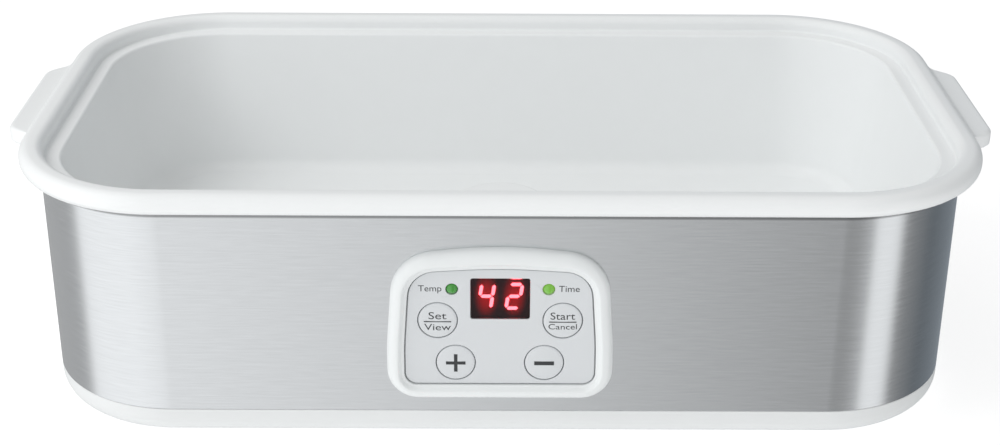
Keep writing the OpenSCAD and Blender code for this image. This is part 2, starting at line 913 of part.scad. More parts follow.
module power_board() color("#2f6b45")
  difference() {
    block(
      [power_board_x[0], power_board_y[0], power_board_z],
      [power_board_x[1], power_board_y[1], power_board_top_z]
    );
    for (p = power_board_spots)
      translate([p[0], p[1], power_board_z - 1])
        cylinder(r = board_screw_radius + 0.2, h = board_sheet + 2);
  }

module power_board_screws() color("#8d9295")
  for (p = power_board_spots)
    translate([p[0], p[1], power_board_top_z + board_screw_head_height])
      rotate([180, 0, 0])
        screw_up(board_screw_radius - 0.1, board_screw_head, board_screw_head_height, board_sheet + 3);

// Part that stands on the power board between two corners
module on_power_board(low, high, from, to)
  block(
    [low[0], low[1], power_board_top_z + from],
    [high[0], high[1], power_board_top_z + to]
  );

module relay() color("#2b5fa3")
  on_power_board(relay_low, relay_high, 0, relay_height);

module transformer() color("#d9b64a") {
  on_power_board(core_low, core_high, 0, core_height);
  on_power_board(winding_low, winding_high, core_height, relay_height);
}

module capacitor() color("#27313f")
  translate([capacitor_spot[0], capacitor_spot[1], power_board_top_z])
    cylinder(r = capacitor_radius, h = relay_height);

module glass_fuse() color("#dfe6e6") {
  for (x = fuse_holder_x)
    on_power_board(
      [x, glass_fuse_spot[1]] - fuse_holder_half,
      [x, glass_fuse_spot[1]] + fuse_holder_half,
      0, glass_fuse_lift
    );
  translate([glass_fuse_spot[0], glass_fuse_spot[1], power_board_top_z + glass_fuse_lift])
    rotate([0, 90, 0])
      cylinder(r = glass_fuse_radius, h = glass_fuse_length);
}

module terminal_block() color("#e6e8e8")
  difference() {
    on_power_board(terminal_low, terminal_high, 0, terminal_height);
    for (x = terminal_hole_x) {
      rod_y(
        x, terminal_high[1] - terminal_wire_depth, power_board_top_z + terminal_wire_z,
        terminal_hole_radius, terminal_wire_depth + 1
      );
      translate([x, terminal_screw_y, power_board_top_z + terminal_height - terminal_screw_depth])
        cylinder(r = terminal_hole_radius, h = terminal_screw_depth + 1);
    }
  }

module heater_leads() color("#b8433a")
  for (side = [-1, 1])
    wire([
      [-heat_run, side * lead_row_y, heat_cord_z],
      [lead_drop_x, side * lead_row_y, heat_cord_z],
      [lead_drop_x, side * lead_row_y, lead_z],
      [lead_end[0], lead_end[1] + side * lead_spread, lead_z],
      [lead_end[0], lead_end[1] + side * lead_spread, power_board_top_z]
    ], lead_radius);

module sensor_lead() color("#2d2f31")
  wire([
    [0, 0, sensor_bottom_z],
    [0, 0, sensor_lead_z],
    [sensor_plug_x, connector_y, sensor_lead_z],
    [sensor_plug_x, connector_y, connector_bottom_z]
  ], sensor_lead_radius);

module link_cable() color("#d8dadb")
  wire([
    [link_plug_x, connector_y, connector_bottom_z],
    [link_plug_x, connector_y, link_high_z],
    [link_plug_x, link_turn_y, link_high_z],
    [link_plug_x, link_turn_y, lead_z],
    [link_end[0], link_end[1], lead_z],
    [link_end[0], link_end[1], power_board_top_z]
  ], link_radius);

module cord_gland() color("#2c2e30")
  difference() {
    union() {
      rod_y(gland_x, band_back_y, gland_z, gland_flange_radius, gland_flange_sheet);
      rod_y(gland_x, band_back_y - gland_length, gland_z, gland_body_radius, gland_length);
    }
    rod_y(gland_x, band_back_y - gland_length - 1, gland_z, gland_bore, gland_length + gland_flange_sheet + 2);
  }

module gland_nut() color("#2c2e30")
  difference() {
    translate([gland_x, band_back_y - band_sheet - gland_nut_sheet, gland_z])
      rotate([-90, 0, 0])
        cylinder(r = gland_nut_radius, h = gland_nut_sheet, $fn = 6);
    rod_y(
      gland_x, band_back_y - band_sheet - gland_nut_sheet - 1, gland_z, gland_body_radius + 0.1,
      gland_nut_sheet + 2
    );
  }

tub();
steel_band();
band_joint_strip();
base_tray();
rubber_feet();
base_screws();
rating_plate();
control_bezel();
face_plate();
panel_backplate();
panel_screws();
display_window();
display_module();
display_digits();
indicator_lights();
key_set_view();
key_start_cancel();
key_plus();
key_minus();
control_board();
control_board_screws();
tact_switches();
control_chip();
buzzer();
board_connector();
heater_plate();
heating_cord();
insulation_pad();
temperature_sensor();
sensor_holder();
thermal_fuse();
fuse_clip();
power_board();
power_board_screws();
relay();
transformer();
capacitor();
glass_fuse();
terminal_block();
heater_leads();
sensor_lead();
link_cable();
cord_gland();
gland_nut();
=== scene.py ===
"""Looks of a yogurt maker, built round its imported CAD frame.

The tub, steel jacket, base and control panel are modelled here as finished shells. They stand where the
CAD frame says, in metres, with X along the length, Y from front to back and Z up.
"""

import json
import math

import bmesh
import bpy
from mathutils import Euler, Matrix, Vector

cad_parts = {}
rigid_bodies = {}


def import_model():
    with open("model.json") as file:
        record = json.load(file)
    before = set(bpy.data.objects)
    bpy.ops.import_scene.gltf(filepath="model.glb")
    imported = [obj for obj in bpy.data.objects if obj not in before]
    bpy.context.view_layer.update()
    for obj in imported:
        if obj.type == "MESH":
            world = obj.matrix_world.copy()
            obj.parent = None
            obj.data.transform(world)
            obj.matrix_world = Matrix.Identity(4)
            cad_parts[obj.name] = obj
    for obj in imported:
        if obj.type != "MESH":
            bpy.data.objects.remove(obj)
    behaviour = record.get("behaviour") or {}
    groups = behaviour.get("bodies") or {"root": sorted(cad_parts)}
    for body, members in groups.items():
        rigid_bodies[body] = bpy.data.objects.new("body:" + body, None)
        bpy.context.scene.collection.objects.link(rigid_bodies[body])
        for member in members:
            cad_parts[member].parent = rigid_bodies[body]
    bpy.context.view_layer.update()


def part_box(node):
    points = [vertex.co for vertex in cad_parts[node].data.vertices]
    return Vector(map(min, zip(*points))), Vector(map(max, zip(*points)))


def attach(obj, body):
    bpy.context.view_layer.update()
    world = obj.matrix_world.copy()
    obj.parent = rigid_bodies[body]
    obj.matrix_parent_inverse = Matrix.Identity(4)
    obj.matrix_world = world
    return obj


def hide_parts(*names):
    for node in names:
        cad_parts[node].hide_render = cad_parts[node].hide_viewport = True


bl_info = {
    "name": "Yogurt Maker",
    "version": (1, 0, 0),
    "blender": (4, 5, 0),
    "location": "3D View > Sidebar > Yogurt Maker",
    "description": "Builds the shells, panel and finishes of a yogurt maker round its CAD frame",
    "category": "Add Mesh",
}

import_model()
HOUSING = "housing"

# Steps of a quarter turn round the body, of a small rounded edge and of a full turn of a round part
CORNER_STEPS = 24
EDGE_STEPS = 6
ROUND_STEPS = 72
# Faces that meet at more than this keep a crisp edge
CRISP_ANGLE = math.radians(38)


def mm(value):
    """Millimetres in metres."""
    return value * 0.001


def linear(code):
    """Linear RGB of an sRGB hex colour."""
    shares = [int(code[i : i + 2], 16) / 255 for i in (1, 3, 5)]
    return [s / 12.92 if s <= 0.04045 else ((s + 0.055) / 1.055) ** 2.4 for s in shares]


def node_box(name):
    """Lowest corner, highest corner and middle of a CAD node."""
    low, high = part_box(name)
    return low, high, (low + high) / 2


TUB_LOW, TUB_HIGH, _ = node_box("tub")
BAND_LOW, BAND_HIGH, _ = node_box("steel_band")
BASE_LOW, BASE_HIGH, _ = node_box("base_tray")
BEZEL_LOW, BEZEL_HIGH, _ = node_box("control_bezel")
FACE_LOW, FACE_HIGH, _ = node_box("face_plate")
# The rim stands out from the steel jacket equally on all sides
RIM_OVERHANG = TUB_HIGH.y - BAND_HIGH.y
RIM_HALF = Vector((BAND_HIGH.x + RIM_OVERHANG, TUB_HIGH.y))
# A grip's outline seen from above: how far it stands out, the radius of its corners and of the hollow
# curve into the rim, the angle that each of them turns, and where the curve meets the rim
GRIP_REACH, GRIP_ROUND, GRIP_CURVE = mm(8.6), mm(8), mm(10)
GRIP_TURN = math.radians(60)
GRIP_FOOT = mm(41.59)
# Radius of the rolled bead's outside, and the angle on it where a grip's top starts
BEAD_ROUND = mm(3.6)
GRIP_START = 27.5
# Places of the base screws and of the feet, as (x, y)
SCREWS = [(x * mm(110), y * mm(59)) for x in (-1, 0, 1) for y in (-1, 1)]
FEET = [(x * mm(128), y * mm(56)) for x in (-1, 1) for y in (-1, 1)]
# Places of the panel's screws, and of the indicator lights on each side of its middle
PANEL_SCREWS = [(x, z) for x in (-mm(35.6), mm(35.6)) for z in (mm(31), mm(59))]
LAMPS = (-mm(16.4), mm(16.4))
# How far the rim of a key's domed face lies behind its middle
KEY_BULGE = mm(0.35)
# Thickness of the steel sheet and of printed ink
STEEL = mm(0.6)
INK = mm(0.02)


# Sizes and colours that a user would change


def length(name, description, value):
    """A size given in millimetres."""
    return bpy.props.FloatProperty(name=name, description=description, default=mm(value), unit="LENGTH")


def colour(name, description, code):
    """A colour given as an sRGB hex code."""
    return bpy.props.FloatVectorProperty(
        name=name, description=description, default=linear(code), subtype="COLOR", min=0, max=1
    )


class YogurtRim(bpy.types.PropertyGroup):
    corner_radius: length("Corner Radius", "Radius of the rim's corners from above", 55.5)
    bead_width: length("Bead Width", "Width of the rolled bead round the rim", 8.6)
    bead_height: length("Bead Height", "Height of the rolled bead", 7.7)
    ledge_depth: length("Ledge Depth", "Depth of the lid's ledge below the bead's top", 5.5)
    ledge_width: length("Ledge Width", "Width of the lid's ledge", 5.8)
    grip_half: length("Grip Half Length", "Half of a grip's straight outer edge", 26)
    grip_top: length("Grip Top", "Height of the grips' top above the table", 95.2)
    grip_height: length("Grip Height", "Height of the grips' outer lip", 5.7)


class YogurtWell(bpy.types.PropertyGroup):
    floor_height: length("Floor Height", "Height of the well's floor above the table", 34.4)
    draft: length("Draft", "How far the wall leans in on its way down", 9.7)
    fillet: length("Fillet", "Radius between the floor and the wall", 6)
    wall: length("Wall", "Thickness of the moulded wall", 2.4)
    dome_radius: length("Dome Radius", "Radius of the sensor dome", 18.5)
    dome_height: length("Dome Height", "Height of the sensor dome above the floor", 19.3)


class YogurtPanel(bpy.types.PropertyGroup):
    key_radius: length("Key Radius", "Radius of a key's face", 6.6)
    key_gap: length("Key Gap", "Gap round a key", 0.3)
    groove: length("Groove", "Gap between the face plate and the bezel", 0.4)
    light_radius: length("Light Radius", "Radius of an indicator light", 2)
    segment_width: length("Segment Width", "Width of a display segment", 1.15)
    shown: bpy.props.StringProperty(name="Shown", description="Two figures on the display", default="42")


class YogurtColours(bpy.types.PropertyGroup):
    plastic: colour("White Plastic", "Colour of the tub and its rim", "#F3F5F5")
    base: colour("Base Plastic", "Colour of the base tray", "#E6E8E8")
    steel: colour("Steel", "Colour of the brushed jacket", "#E6E8E9")
    bezel: colour("Bezel", "Colour of the panel's frame", "#ECEFEF")
    face: colour("Face Plate", "Colour of the face plate and the keys", "#D9DCDE")
    ink: colour("Ink", "Colour of the printed legends", "#3A3C3E")
    digits: colour("Digits", "Colour of the lit digits", "#FF8488")
    lights: colour("Lights", "Colour of the indicator lights", "#3A8F2C")


GROUPS = (
    ("yogurt_rim", YogurtRim),
    ("yogurt_well", YogurtWell),
    ("yogurt_panel", YogurtPanel),
    ("yogurt_colours", YogurtColours),
)


# Outlines


def arc(centre, radius, first, last, steps=EDGE_STEPS):
    """Points of an arc from one angle to another, in degrees."""
    turns = [math.radians(first + (last - first) * i / steps) for i in range(steps + 1)]
    return [(centre[0] + radius * math.cos(t), centre[1] + radius * math.sin(t)) for t in turns]


def mix(a, b, share):
    """Point or number part of the way from a to b."""
    if isinstance(a, (tuple, list)):
        return tuple(mix(p, q, share) for p, q in zip(a, b))
    return a + (b - a) * share


def smooth_step(value, top):
    """Goes softly from 0 to 1 as value goes from 0 to top."""
    share = min(1.0, max(0.0, value / top))
    return share * share * (3 - 2 * share)


def soft_max(a, b, blend):
    """The larger of two numbers, with a soft change from one to the other."""
    return 0.5 * (a + b + math.hypot(a - b, blend))


def round_corners(corners, steps=8):
    """Closed outline with an arc at each (x, z, radius), as (point, outward direction) pairs."""
    pairs = []
    for i, (x, z, radius) in enumerate(corners):
        here = Vector((x, z))
        back = (here - Vector(corners[i - 1][:2])).normalized()
        ahead = (Vector(corners[(i + 1) % len(corners)][:2]) - here).normalized()
        turn = back.angle(ahead)
        start = here - back * radius * math.tan(turn / 2)
        centre = start + radius * Vector((-back.y, back.x))
        first = math.atan2(start.y - centre.y, start.x - centre.x)
        for step in range(steps + 1):
            angle = first + turn * step / steps
            out = Vector((math.cos(angle), math.sin(angle)))
            pairs.append((centre + out * radius, out))
    return pairs


def both_halves(half):
    """Corners of a shape whose right half is given from the bottom to the middle of the top."""
    return half + [(-x, z, radius) for x, z, radius in reversed(half[:-1])]


def rounded_box(low, high, inset, radius, steps):
    """Outline of a rounded rectangle inside a CAD box seen from the front."""
    half_x, half_z = (high.x - low.x) / 2 - inset, (high.z - low.z) / 2 - inset
    middle = (low + high) / 2
    corners = [(half_x, -half_z), (half_x, half_z), (-half_x, half_z), (-half_x, -half_z)]
    return round_corners([(x, middle.z + z, radius) for x, z in corners], steps)


def facing(pairs, inset, y):
    """Ring of points of an (x, z) outline drawn smaller by an inset, at y."""
    return [Vector((p.x - out.x * inset, y, p.y - out.y * inset)) for p, out in pairs]


# Meshes


def skin(bm, rings, loop=True):
    """Joins rings of points with faces, and returns the rings' vertices."""
    made = [[bm.verts.new(point) for point in ring] for ring in rings]
    for low, high in zip(made, made[1:]):
        for i in range(len(low) if loop else len(low) - 1):
            j = (i + 1) % len(low)
            bm.faces.new((low[i], low[j], high[j], high[i]))
    return made


def solid(bm, rings):
    """Closed solid of rings of points, with a flat face on its first and its last ring."""
    made = skin(bm, rings)
    bm.faces.new(made[0])
    bm.faces.new(made[-1])
    return made


def fill(bm, loops, normal):
    """Fills the flat area between an outer loop of vertices and the loops round its holes."""
    edges = []
    for loop in loops:
        for a, b in zip(loop, loop[1:] + loop[:1]):
            edges.append(bm.edges.get((a, b)) or bm.edges.new((a, b)))
    bmesh.ops.triangle_fill(bm, use_beauty=True, use_dissolve=False, edges=edges, normal=normal)


def circle(centre, radius, axis, height, steps=ROUND_STEPS):
    """Ring of points round an axis, "Y" or "Z", through a centre; height is the place along the axis."""
    ring = []
    for i in range(steps):
        angle = 2 * math.pi * i / steps
        a, b = radius * math.cos(angle), radius * math.sin(angle)
        if axis == "Y":
            ring.append(Vector((centre[0] + a, height, centre[1] + b)))
        else:
            ring.append(Vector((centre[0] + a, centre[1] + b, height)))
    return ring


def turned(bm, centre, axis, profile, steps=ROUND_STEPS):
    """Solid turned round an axis from (radius, height) points, closed by flat ends."""
    return solid(bm, [circle(centre, radius, axis, height, steps) for radius, height in profile])


def sleeve(bm, centre, axis, profile, steps=ROUND_STEPS):
    """Ring-shaped solid turned round an axis from a closed (radius, height) outline."""
    rings = [circle(centre, radius, axis, height, steps) for radius, height in profile]
    skin(bm, rings + rings[:1])


def tidy(bm):
    """Joins coinciding vertices and points every face outwards."""
    bmesh.ops.remove_doubles(bm, verts=bm.verts, dist=mm(0.002))
    bmesh.ops.dissolve_degenerate(bm, edges=bm.edges, dist=mm(0.001))
    bmesh.ops.recalc_face_normals(bm, faces=bm.faces)


def carved(bm, cutter):
    """The solid with the cutter's solids taken away."""
    objects = []
    for source in (bm, cutter):
        tidy(source)
        mesh = bpy.data.meshes.new("carving")
        source.to_mesh(mesh)
        source.free()
        objects.append(bpy.data.objects.new("carving", mesh))
        bpy.context.scene.collection.objects.link(objects[-1])
    block, blade = objects
    cut = block.modifiers.new("Cut", "BOOLEAN")
    cut.operation = "DIFFERENCE"
    cut.solver = "EXACT"
    cut.object = blade
    bpy.context.view_layer.update()
    result = bmesh.new()
    result.from_object(block, bpy.context.evaluated_depsgraph_get())
    for item in objects:
        mesh = item.data
        bpy.data.objects.remove(item)
        bpy.data.meshes.remove(mesh)
    return result


def add_piece(name, bm, slot, body=HOUSING, stands_for=()):
    """Makes a finished piece of a mesh, which rides on a body and may stand for CAD nodes."""
    tidy(bm)
    mesh = bpy.data.meshes.new(name)
    bm.to_mesh(mesh)
    bm.free()
    mesh.shade_smooth()
    mesh.set_sharp_from_angle(angle=CRISP_ANGLE)
    mesh.materials.append(finish(slot))
    piece = bpy.data.objects.new(name, mesh)
    bpy.context.scene.collection.objects.link(piece)
    weigh = piece.modifiers.new("Weighted Normals", "WEIGHTED_NORMAL")
    weigh.keep_sharp = True
    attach(piece, body)
    if stands_for:
        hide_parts(*stands_for)
    return piece


# Shells that go round the body share the same four corner centres


def spread(half, reach, step):
    """Spots along a side, an equal angle apart seen from the middle of the body."""
    edge = math.atan2(half, reach)
    count = math.ceil(2 * edge / math.radians(step))
    return [reach * math.tan(-edge + 2 * edge * i / count) for i in range(count + 1)]


def lap(corner, sides):
    """Stations of one turn round the body as (centre, outward) pairs, the front first and then the right."""
    stations = []
    for side, spots in enumerate(sides):
        turn = math.radians(90 * side - 90)
        out = Vector((round(math.cos(turn)), round(math.sin(turn))))
        along = Vector((-out.y, out.x))
        reach, half = (corner.x, corner.y) if side % 2 else (corner.y, corner.x)
        stations += [(out * reach + along * spot, out) for spot in spots]
        for step in range(1, CORNER_STEPS):
            angle = turn + math.pi / 2 * step / CORNER_STEPS
            stations.append((out * reach + along * half, Vector((math.cos(angle), math.sin(angle)))))
    return stations


def at_station(station, point):
    """Place of an (outward distance, height) point at a station."""
    centre, out = station
    return Vector((centre.x + out.x * point[0], centre.y + out.y * point[0], point[1]))


def ring_round(stations, point):
    """Ring of one (outward distance, height) point round the body."""
    return [at_station(station, point) for station in stations]


def corner_centre(context):
    radius = context.scene.yogurt_rim.corner_radius
    return RIM_HALF - Vector((radius, radius))


# Tub


def tub_stations(context):
    """Stations of a turn round the tub, close together where the grips grow out of the short sides."""
    corner = corner_centre(context)
    half = context.scene.yogurt_rim.grip_half
    spots = [half * i / 4 for i in range(5)]
    spots += [half + GRIP_ROUND * math.sin(math.radians(a)) for a in (12, 24, 36, 48, 60)]
    spots += [GRIP_FOOT - GRIP_CURVE * math.sin(math.radians(b)) for b in (48, 36, 24, 12, 0)]
    short = [-y for y in reversed(spots[1:])] + spots
    wide = spread(corner.x, corner.y, 5)
    return lap(corner, [wide, short, wide, short])


def grip_reach(y, half, inset):
    """How far a grip stands out of the rim at y, for an outline drawn smaller by an inset."""
    away = abs(y)
    round_out, round_in = GRIP_ROUND - inset, GRIP_CURVE + inset
    if away <= half:
        return GRIP_REACH - inset
    if away - half <= round_out * math.sin(GRIP_TURN):
        return GRIP_REACH - GRIP_ROUND + math.sqrt(round_out**2 - (away - half) ** 2)
    if GRIP_FOOT - away >= round_in or away >= GRIP_FOOT:
        return 0
    return max(0, GRIP_CURVE - mm(0.4) - math.sqrt(round_in**2 - (GRIP_FOOT - away) ** 2))


def rim_outside(rim, edge, top, y):
    """Points of the rim from its crest round the outside to its underside, with a grip where y meets one."""
    crest, bead_bottom = BEAD_ROUND, top - rim.bead_height
    upper = (edge - crest, top - crest)
    lower = (edge - crest, bead_bottom + crest)
    reach = 0 if y is None else grip_reach(y, rim.grip_half, 0)
    shoulder = arc(upper, crest, 90, GRIP_START, 6)
    plain = shoulder + arc(upper, crest, GRIP_START, 0, 22) + arc(lower, crest, 0, -90, 8)
    if reach <= mm(0.01):
        return plain

    def out(inset):
        """Outward distance of the grip's outline."""
        kept = soft_max(grip_reach(y, rim.grip_half, inset), reach * (1 - inset / mm(4)), mm(0.3))
        return edge + min(kept, reach)

    # The grip's top edge is rounded softly and its lower edge less; a hollow is left inside its wall
    soft, less_soft, wall = mm(1.6), mm(1), mm(2.4)
    seat = (edge - crest + (crest + soft) * math.cos(math.radians(GRIP_START)), rim.grip_top + soft)
    bottom = rim.grip_top - rim.grip_height
    hollow = mix(bottom, mm(92.8), smooth_step(reach - mm(4), mm(2.5)))
    grip = shoulder + arc(seat, soft, 180 + GRIP_START, 270, 5)
    for angle in (90, 72, 54, 36, 18, 0):
        turn = math.radians(angle)
        grip.append((out(soft * (1 - math.cos(turn))), rim.grip_top - soft * (1 - math.sin(turn))))
    for angle in (0, 30, 60, 90):
        turn = math.radians(angle)
        grip.append((out(less_soft * (1 - math.cos(turn))), bottom + less_soft * (1 - math.sin(turn))))
    for inset, height in ((1.4, 0), (1.9, 0.15), (2.3, 0.6)):
        grip.append((out(mm(inset)), min(hollow, bottom + mm(height))))
    grip.append((out(wall), hollow))
    under = arc(lower, crest, -8, -90, 8)
    grip.append((max(out(wall) - mm(0.6), edge - mm(0.1)), hollow))
    grip.append((edge - mm(0.1), hollow))
    grip.append((edge - mm(0.05), min(hollow, lower[1] + mm(0.3))))
    spare = len(plain) - len(grip) - len(under)
    grip += [grip[-1]] * spare + under
    share = smooth_step(reach, mm(3.5))
    return [mix(a, b, share) for a, b in zip(plain, grip)]


class YOGURT_OT_tub(bpy.types.Operator):
    """Tub with its well, sensor dome, lid ledge, rolled rim and two grips"""

    bl_idname = "yogurt.tub"
    bl_label = "Tub"

    def execute(self, context):
        rim, well = context.scene.yogurt_rim, context.scene.yogurt_well
        stations = tub_stations(context)
        corner = corner_centre(context)
        top, edge = TUB_HIGH.z, rim.corner_radius
        ledge_z = top - rim.ledge_depth
        ledge_out = edge - rim.bead_width
        mouth = ledge_out - rim.ledge_width
        floor_z = well.floor_height
        lean = math.atan2(well.draft, ledge_z - floor_z)

        def wall_at(z, out=0):
            """Outward distance of the well's wall at a height, moved out along its normal."""
            return mouth - (ledge_z - z) * math.tan(lean) + out / math.cos(lean)

        degrees = math.degrees(lean)
        low = (wall_at(floor_z + well.fillet, -well.fillet), floor_z + well.fillet)
        # Radii of the well's lip, of the corner behind the ledge and of the bead's inside
        lip_round, ledge_round, bead_round = mm(1.2), mm(0.8), mm(3.2)
        lip = (wall_at(ledge_z - lip_round, lip_round), ledge_z - lip_round)
        inside = arc(low, well.fillet, -90, -degrees, 8) + arc(lip, lip_round, 180 - degrees, 90, 5)
        inside += arc((ledge_out - ledge_round, ledge_z + ledge_round), ledge_round, -90, 0, 5)
        inside += arc((ledge_out + bead_round, top - bead_round), bead_round, 180, 90, 8)
        skirt_out, skirt_in, skirt_end = mm(47.5), mm(45.7), mm(80)
        under_ledge, under_floor = ledge_z - well.wall, floor_z - well.wall
        outer = well.fillet + well.wall
        behind = [(skirt_out, top - rim.bead_height), (skirt_out, skirt_end), (skirt_in, skirt_end)]
        behind += [(skirt_in, under_ledge), (wall_at(under_ledge, well.wall), under_ledge)]
        behind += arc(low, outer, -degrees, -90, 6)

        sections = []
        for centre, out in stations:
            on_side = abs(abs(centre.x) - corner.x) < mm(0.01) and abs(out.x) > 0.999
            y = centre.y if on_side else None
            sections.append(inside + rim_outside(rim, edge, top, y) + behind)
        shell = [
            [at_station(station, section[i]) for station, section in zip(stations, sections)]
            for i in range(len(sections[0]))
        ]

        def dome(radius, z):
            """Ring of the dome's points, each on the line from the middle to a station's floor."""
            ring = []
            for point in shell[0]:
                aim = Vector((point.x, point.y)).normalized() * radius
                ring.append(Vector((aim.x, aim.y, z)))
            return ring

        radius, dome_top = well.dome_radius, floor_z + well.dome_height
        dome_round, foot_round = mm(3), mm(2)
        rings = [dome(radius * 0.5, dome_top)]
        shoulder = (radius - dome_round, dome_top - dome_round)
        rings += [dome(r, z) for r, z in arc(shoulder, dome_round, 90, 3, 8)]
        foot = (radius + mm(2.6), floor_z + foot_round)
        rings += [dome(r, z) for r, z in arc(foot, foot_round, 180, 270, 6)]
        rings += [dome(radius + mm(6), floor_z)] + shell
        rings += [dome(radius - well.wall, under_floor), dome(radius - well.wall, dome_top - well.wall)]
        bm = bmesh.new()
        solid(bm, rings)
        boss, bore, boss_top = mm(4.5), mm(1.6), under_floor + mm(1)
        for screw in SCREWS:
            profile = [(boss, TUB_LOW.z), (boss, boss_top), (bore, boss_top), (bore, TUB_LOW.z)]
            sleeve(bm, screw, "Z", profile, 24)
        add_piece("tub_shell", bm, "white_plastic", stands_for=["tub"])
        return {"FINISHED"}


# Steel jacket


class YOGURT_OT_jacket(bpy.types.Operator):
    """Brushed steel jacket, open behind the panel and at the cord gland, with its seam at the back"""

    bl_idname = "yogurt.jacket"
    bl_label = "Steel Jacket"

    def execute(self, context):
        corner = corner_centre(context)
        wide, short = spread(corner.x, corner.y, 5), spread(corner.y, corner.x, 5)
        right = [mm(0.2), mm(12), corner.x / 2, corner.x]
        back = [-x for x in reversed(right)] + right
        stations = lap(corner, [wide, short, back, short])
        seam = next(i for i, (at, out) in enumerate(stations) if out.y > 0.99 and at.x < 0)
        stations = stations[seam:] + stations[:seam]
        outside = BAND_HIGH.y - corner.y
        inner, bevel = outside - STEEL, mm(0.12)
        low, high = BAND_LOW.z, BAND_HIGH.z
        sheet = [
            (inner, low), (outside - bevel, low), (outside, low + bevel),
            (outside, high - bevel), (outside - bevel, high), (inner, high),
        ]
        bm = bmesh.new()
        solid(bm, [[at_station(station, point) for point in sheet] for station in stations])
        cutter = bmesh.new()
        past = mm(3)
        window = facing(round_corners(face_outline()), -mm(0.9), BAND_LOW.y - past)
        solid(cutter, [window, [p + Vector((0, 2 * past, 0)) for p in window]])
        _, _, gland = node_box("cord_gland")
        hole = mm(5.8)
        turned(cutter, (gland.x, gland.z), "Y", [(hole, BAND_HIGH.y - past), (hole, BAND_HIGH.y + past)])
        hole = mm(1.4)
        for screw in PANEL_SCREWS:
            turned(cutter, screw, "Y", [(hole, BAND_LOW.y - past), (hole, BAND_LOW.y + past)], 24)
        add_piece("steel_jacket", carved(bm, cutter), "steel_sheet", stands_for=["steel_band"])
        return {"FINISHED"}


# Base


class YOGURT_OT_base(bpy.types.Operator):
    """Base tray with its rounded lower edge, screw recesses and four rubber feet"""

    bl_idname = "yogurt.base"
    bl_label = "Base"

    def execute(self, context):
        corner = corner_centre(context)
        wide, short = spread(corner.x, corner.y, 5), spread(corner.y, corner.x, 5)
        stations = lap(corner, [wide, short, wide, short])
        outside = BASE_HIGH.y - corner.y
        bottom, sheet, bend = BASE_LOW.z, mm(2.4), mm(8)
        bend_centre = (outside - bend, bottom + bend)
        # The jacket stands on the step, round an upright collar
        step, edge = BAND_LOW.z - mm(0.05), mm(0.4)
        collar_out, collar_in, middle = mm(47.6), mm(46.1), mm(20)
        profile = [(middle, bottom)] + arc(bend_centre, bend, -90, 0, 10)
        profile += arc((outside - edge, step - edge), edge, 0, 90, 4)
        profile += [(collar_out, step), (collar_out, BASE_HIGH.z), (collar_in, BASE_HIGH.z)]
        profile += arc(bend_centre, bend - sheet, 0, -90, 8) + [(middle, bottom + sheet)]
        bm = bmesh.new()
        solid(bm, [ring_round(stations, point) for point in profile])
        cutter = bmesh.new()
        recess, foot_recess = mm(3.2), mm(8.2)
        for screw in SCREWS:
            turned(cutter, screw, "Z", [(recess, 0), (recess, mm(4.6))], 32)
        for foot in FEET:
            turned(cutter, foot, "Z", [(foot_recess, 0), (foot_recess, bottom + mm(1))], 48)
        bm = carved(bm, cutter)
        boss_in, boss_out, boss_low, boss_top = mm(3.3), mm(4.5), mm(4), mm(16)
        boss = [(boss_in, boss_low), (boss_out, boss_low), (boss_out, boss_top), (boss_in, boss_top)]
        for screw in SCREWS:
            sleeve(bm, screw, "Z", boss, 24)
        add_piece("base_shell", bm, "white_base", stands_for=["base_tray"])
        bm = bmesh.new()
        _, high, _ = node_box("rubber_feet")
        foot_radius, tread_round = mm(8), mm(1.2)
        for foot in FEET:
            profile = [(mm(5), 0)] + arc((mm(6.6), tread_round), tread_round, -90, 0, 5)
            profile += [(foot_radius, mm(1.5)), (foot_radius, high.z)]
            turned(bm, foot, "Z", profile, 48)
        add_piece("foot_pads", bm, "rubber_foot", stands_for=["rubber_feet"])
        return {"FINISHED"}


class YOGURT_OT_gland(bpy.types.Operator):
    """Cord gland in the back of the jacket, with a rounded flange and an open bore"""

    bl_idname = "yogurt.gland"
    bl_label = "Cord Gland"

    def execute(self, context):
        low, high, middle = node_box("cord_gland")
        face = high.y
        flange = face - mm(2)
        bore, neck, brim = mm(3.6), mm(5.6), mm(8)
        brim_round, mouth_round = mm(1.2), mm(1)
        profile = [(bore, low.y), (neck, low.y), (neck, flange), (brim, flange)]
        profile += arc((brim - brim_round, face - brim_round), brim_round, 0, 90, 6)
        profile += arc((bore + mouth_round, face - mouth_round), mouth_round, 90, 180, 6)
        bm = bmesh.new()
        sleeve(bm, (middle.x, middle.z), "Y", profile)
        add_piece("gland_bush", bm, "black_plastic", stands_for=["cord_gland"])
        return {"FINISHED"}


# Control panel, drawn as seen from the front


def bezel_outline():
    """Corners of the bezel's outline."""
    half, low, high = BEZEL_HIGH.x, BEZEL_LOW.z, mm(77.3)
    return both_halves([
        (half, low, mm(11)),
        (half, low + mm(20), mm(120)),
        (half - mm(2.6), high - mm(3.4), mm(16)),
        (0, high + mm(0.9), mm(150)),
    ])


def face_outline():
    """Corners of the face plate's outline."""
    half, low, high = mm(32.9), mm(25.3), mm(70)
    return both_halves([
        (half, low, mm(4.5)),
        (half, low + mm(15), mm(120)),
        (half - mm(2), high - mm(1.4), mm(10)),
        (0, high + mm(0.5), mm(200)),
    ])


def key_boxes():
    """Name, body and CAD box of every key."""
    keys = (
        ("key_set_view", "set_view_button"),
        ("key_start_cancel", "start_cancel_button"),
        ("key_plus", "plus_button"),
        ("key_minus", "minus_button"),
    )
    return [(name, body, node_box(name)) for name, body in keys]


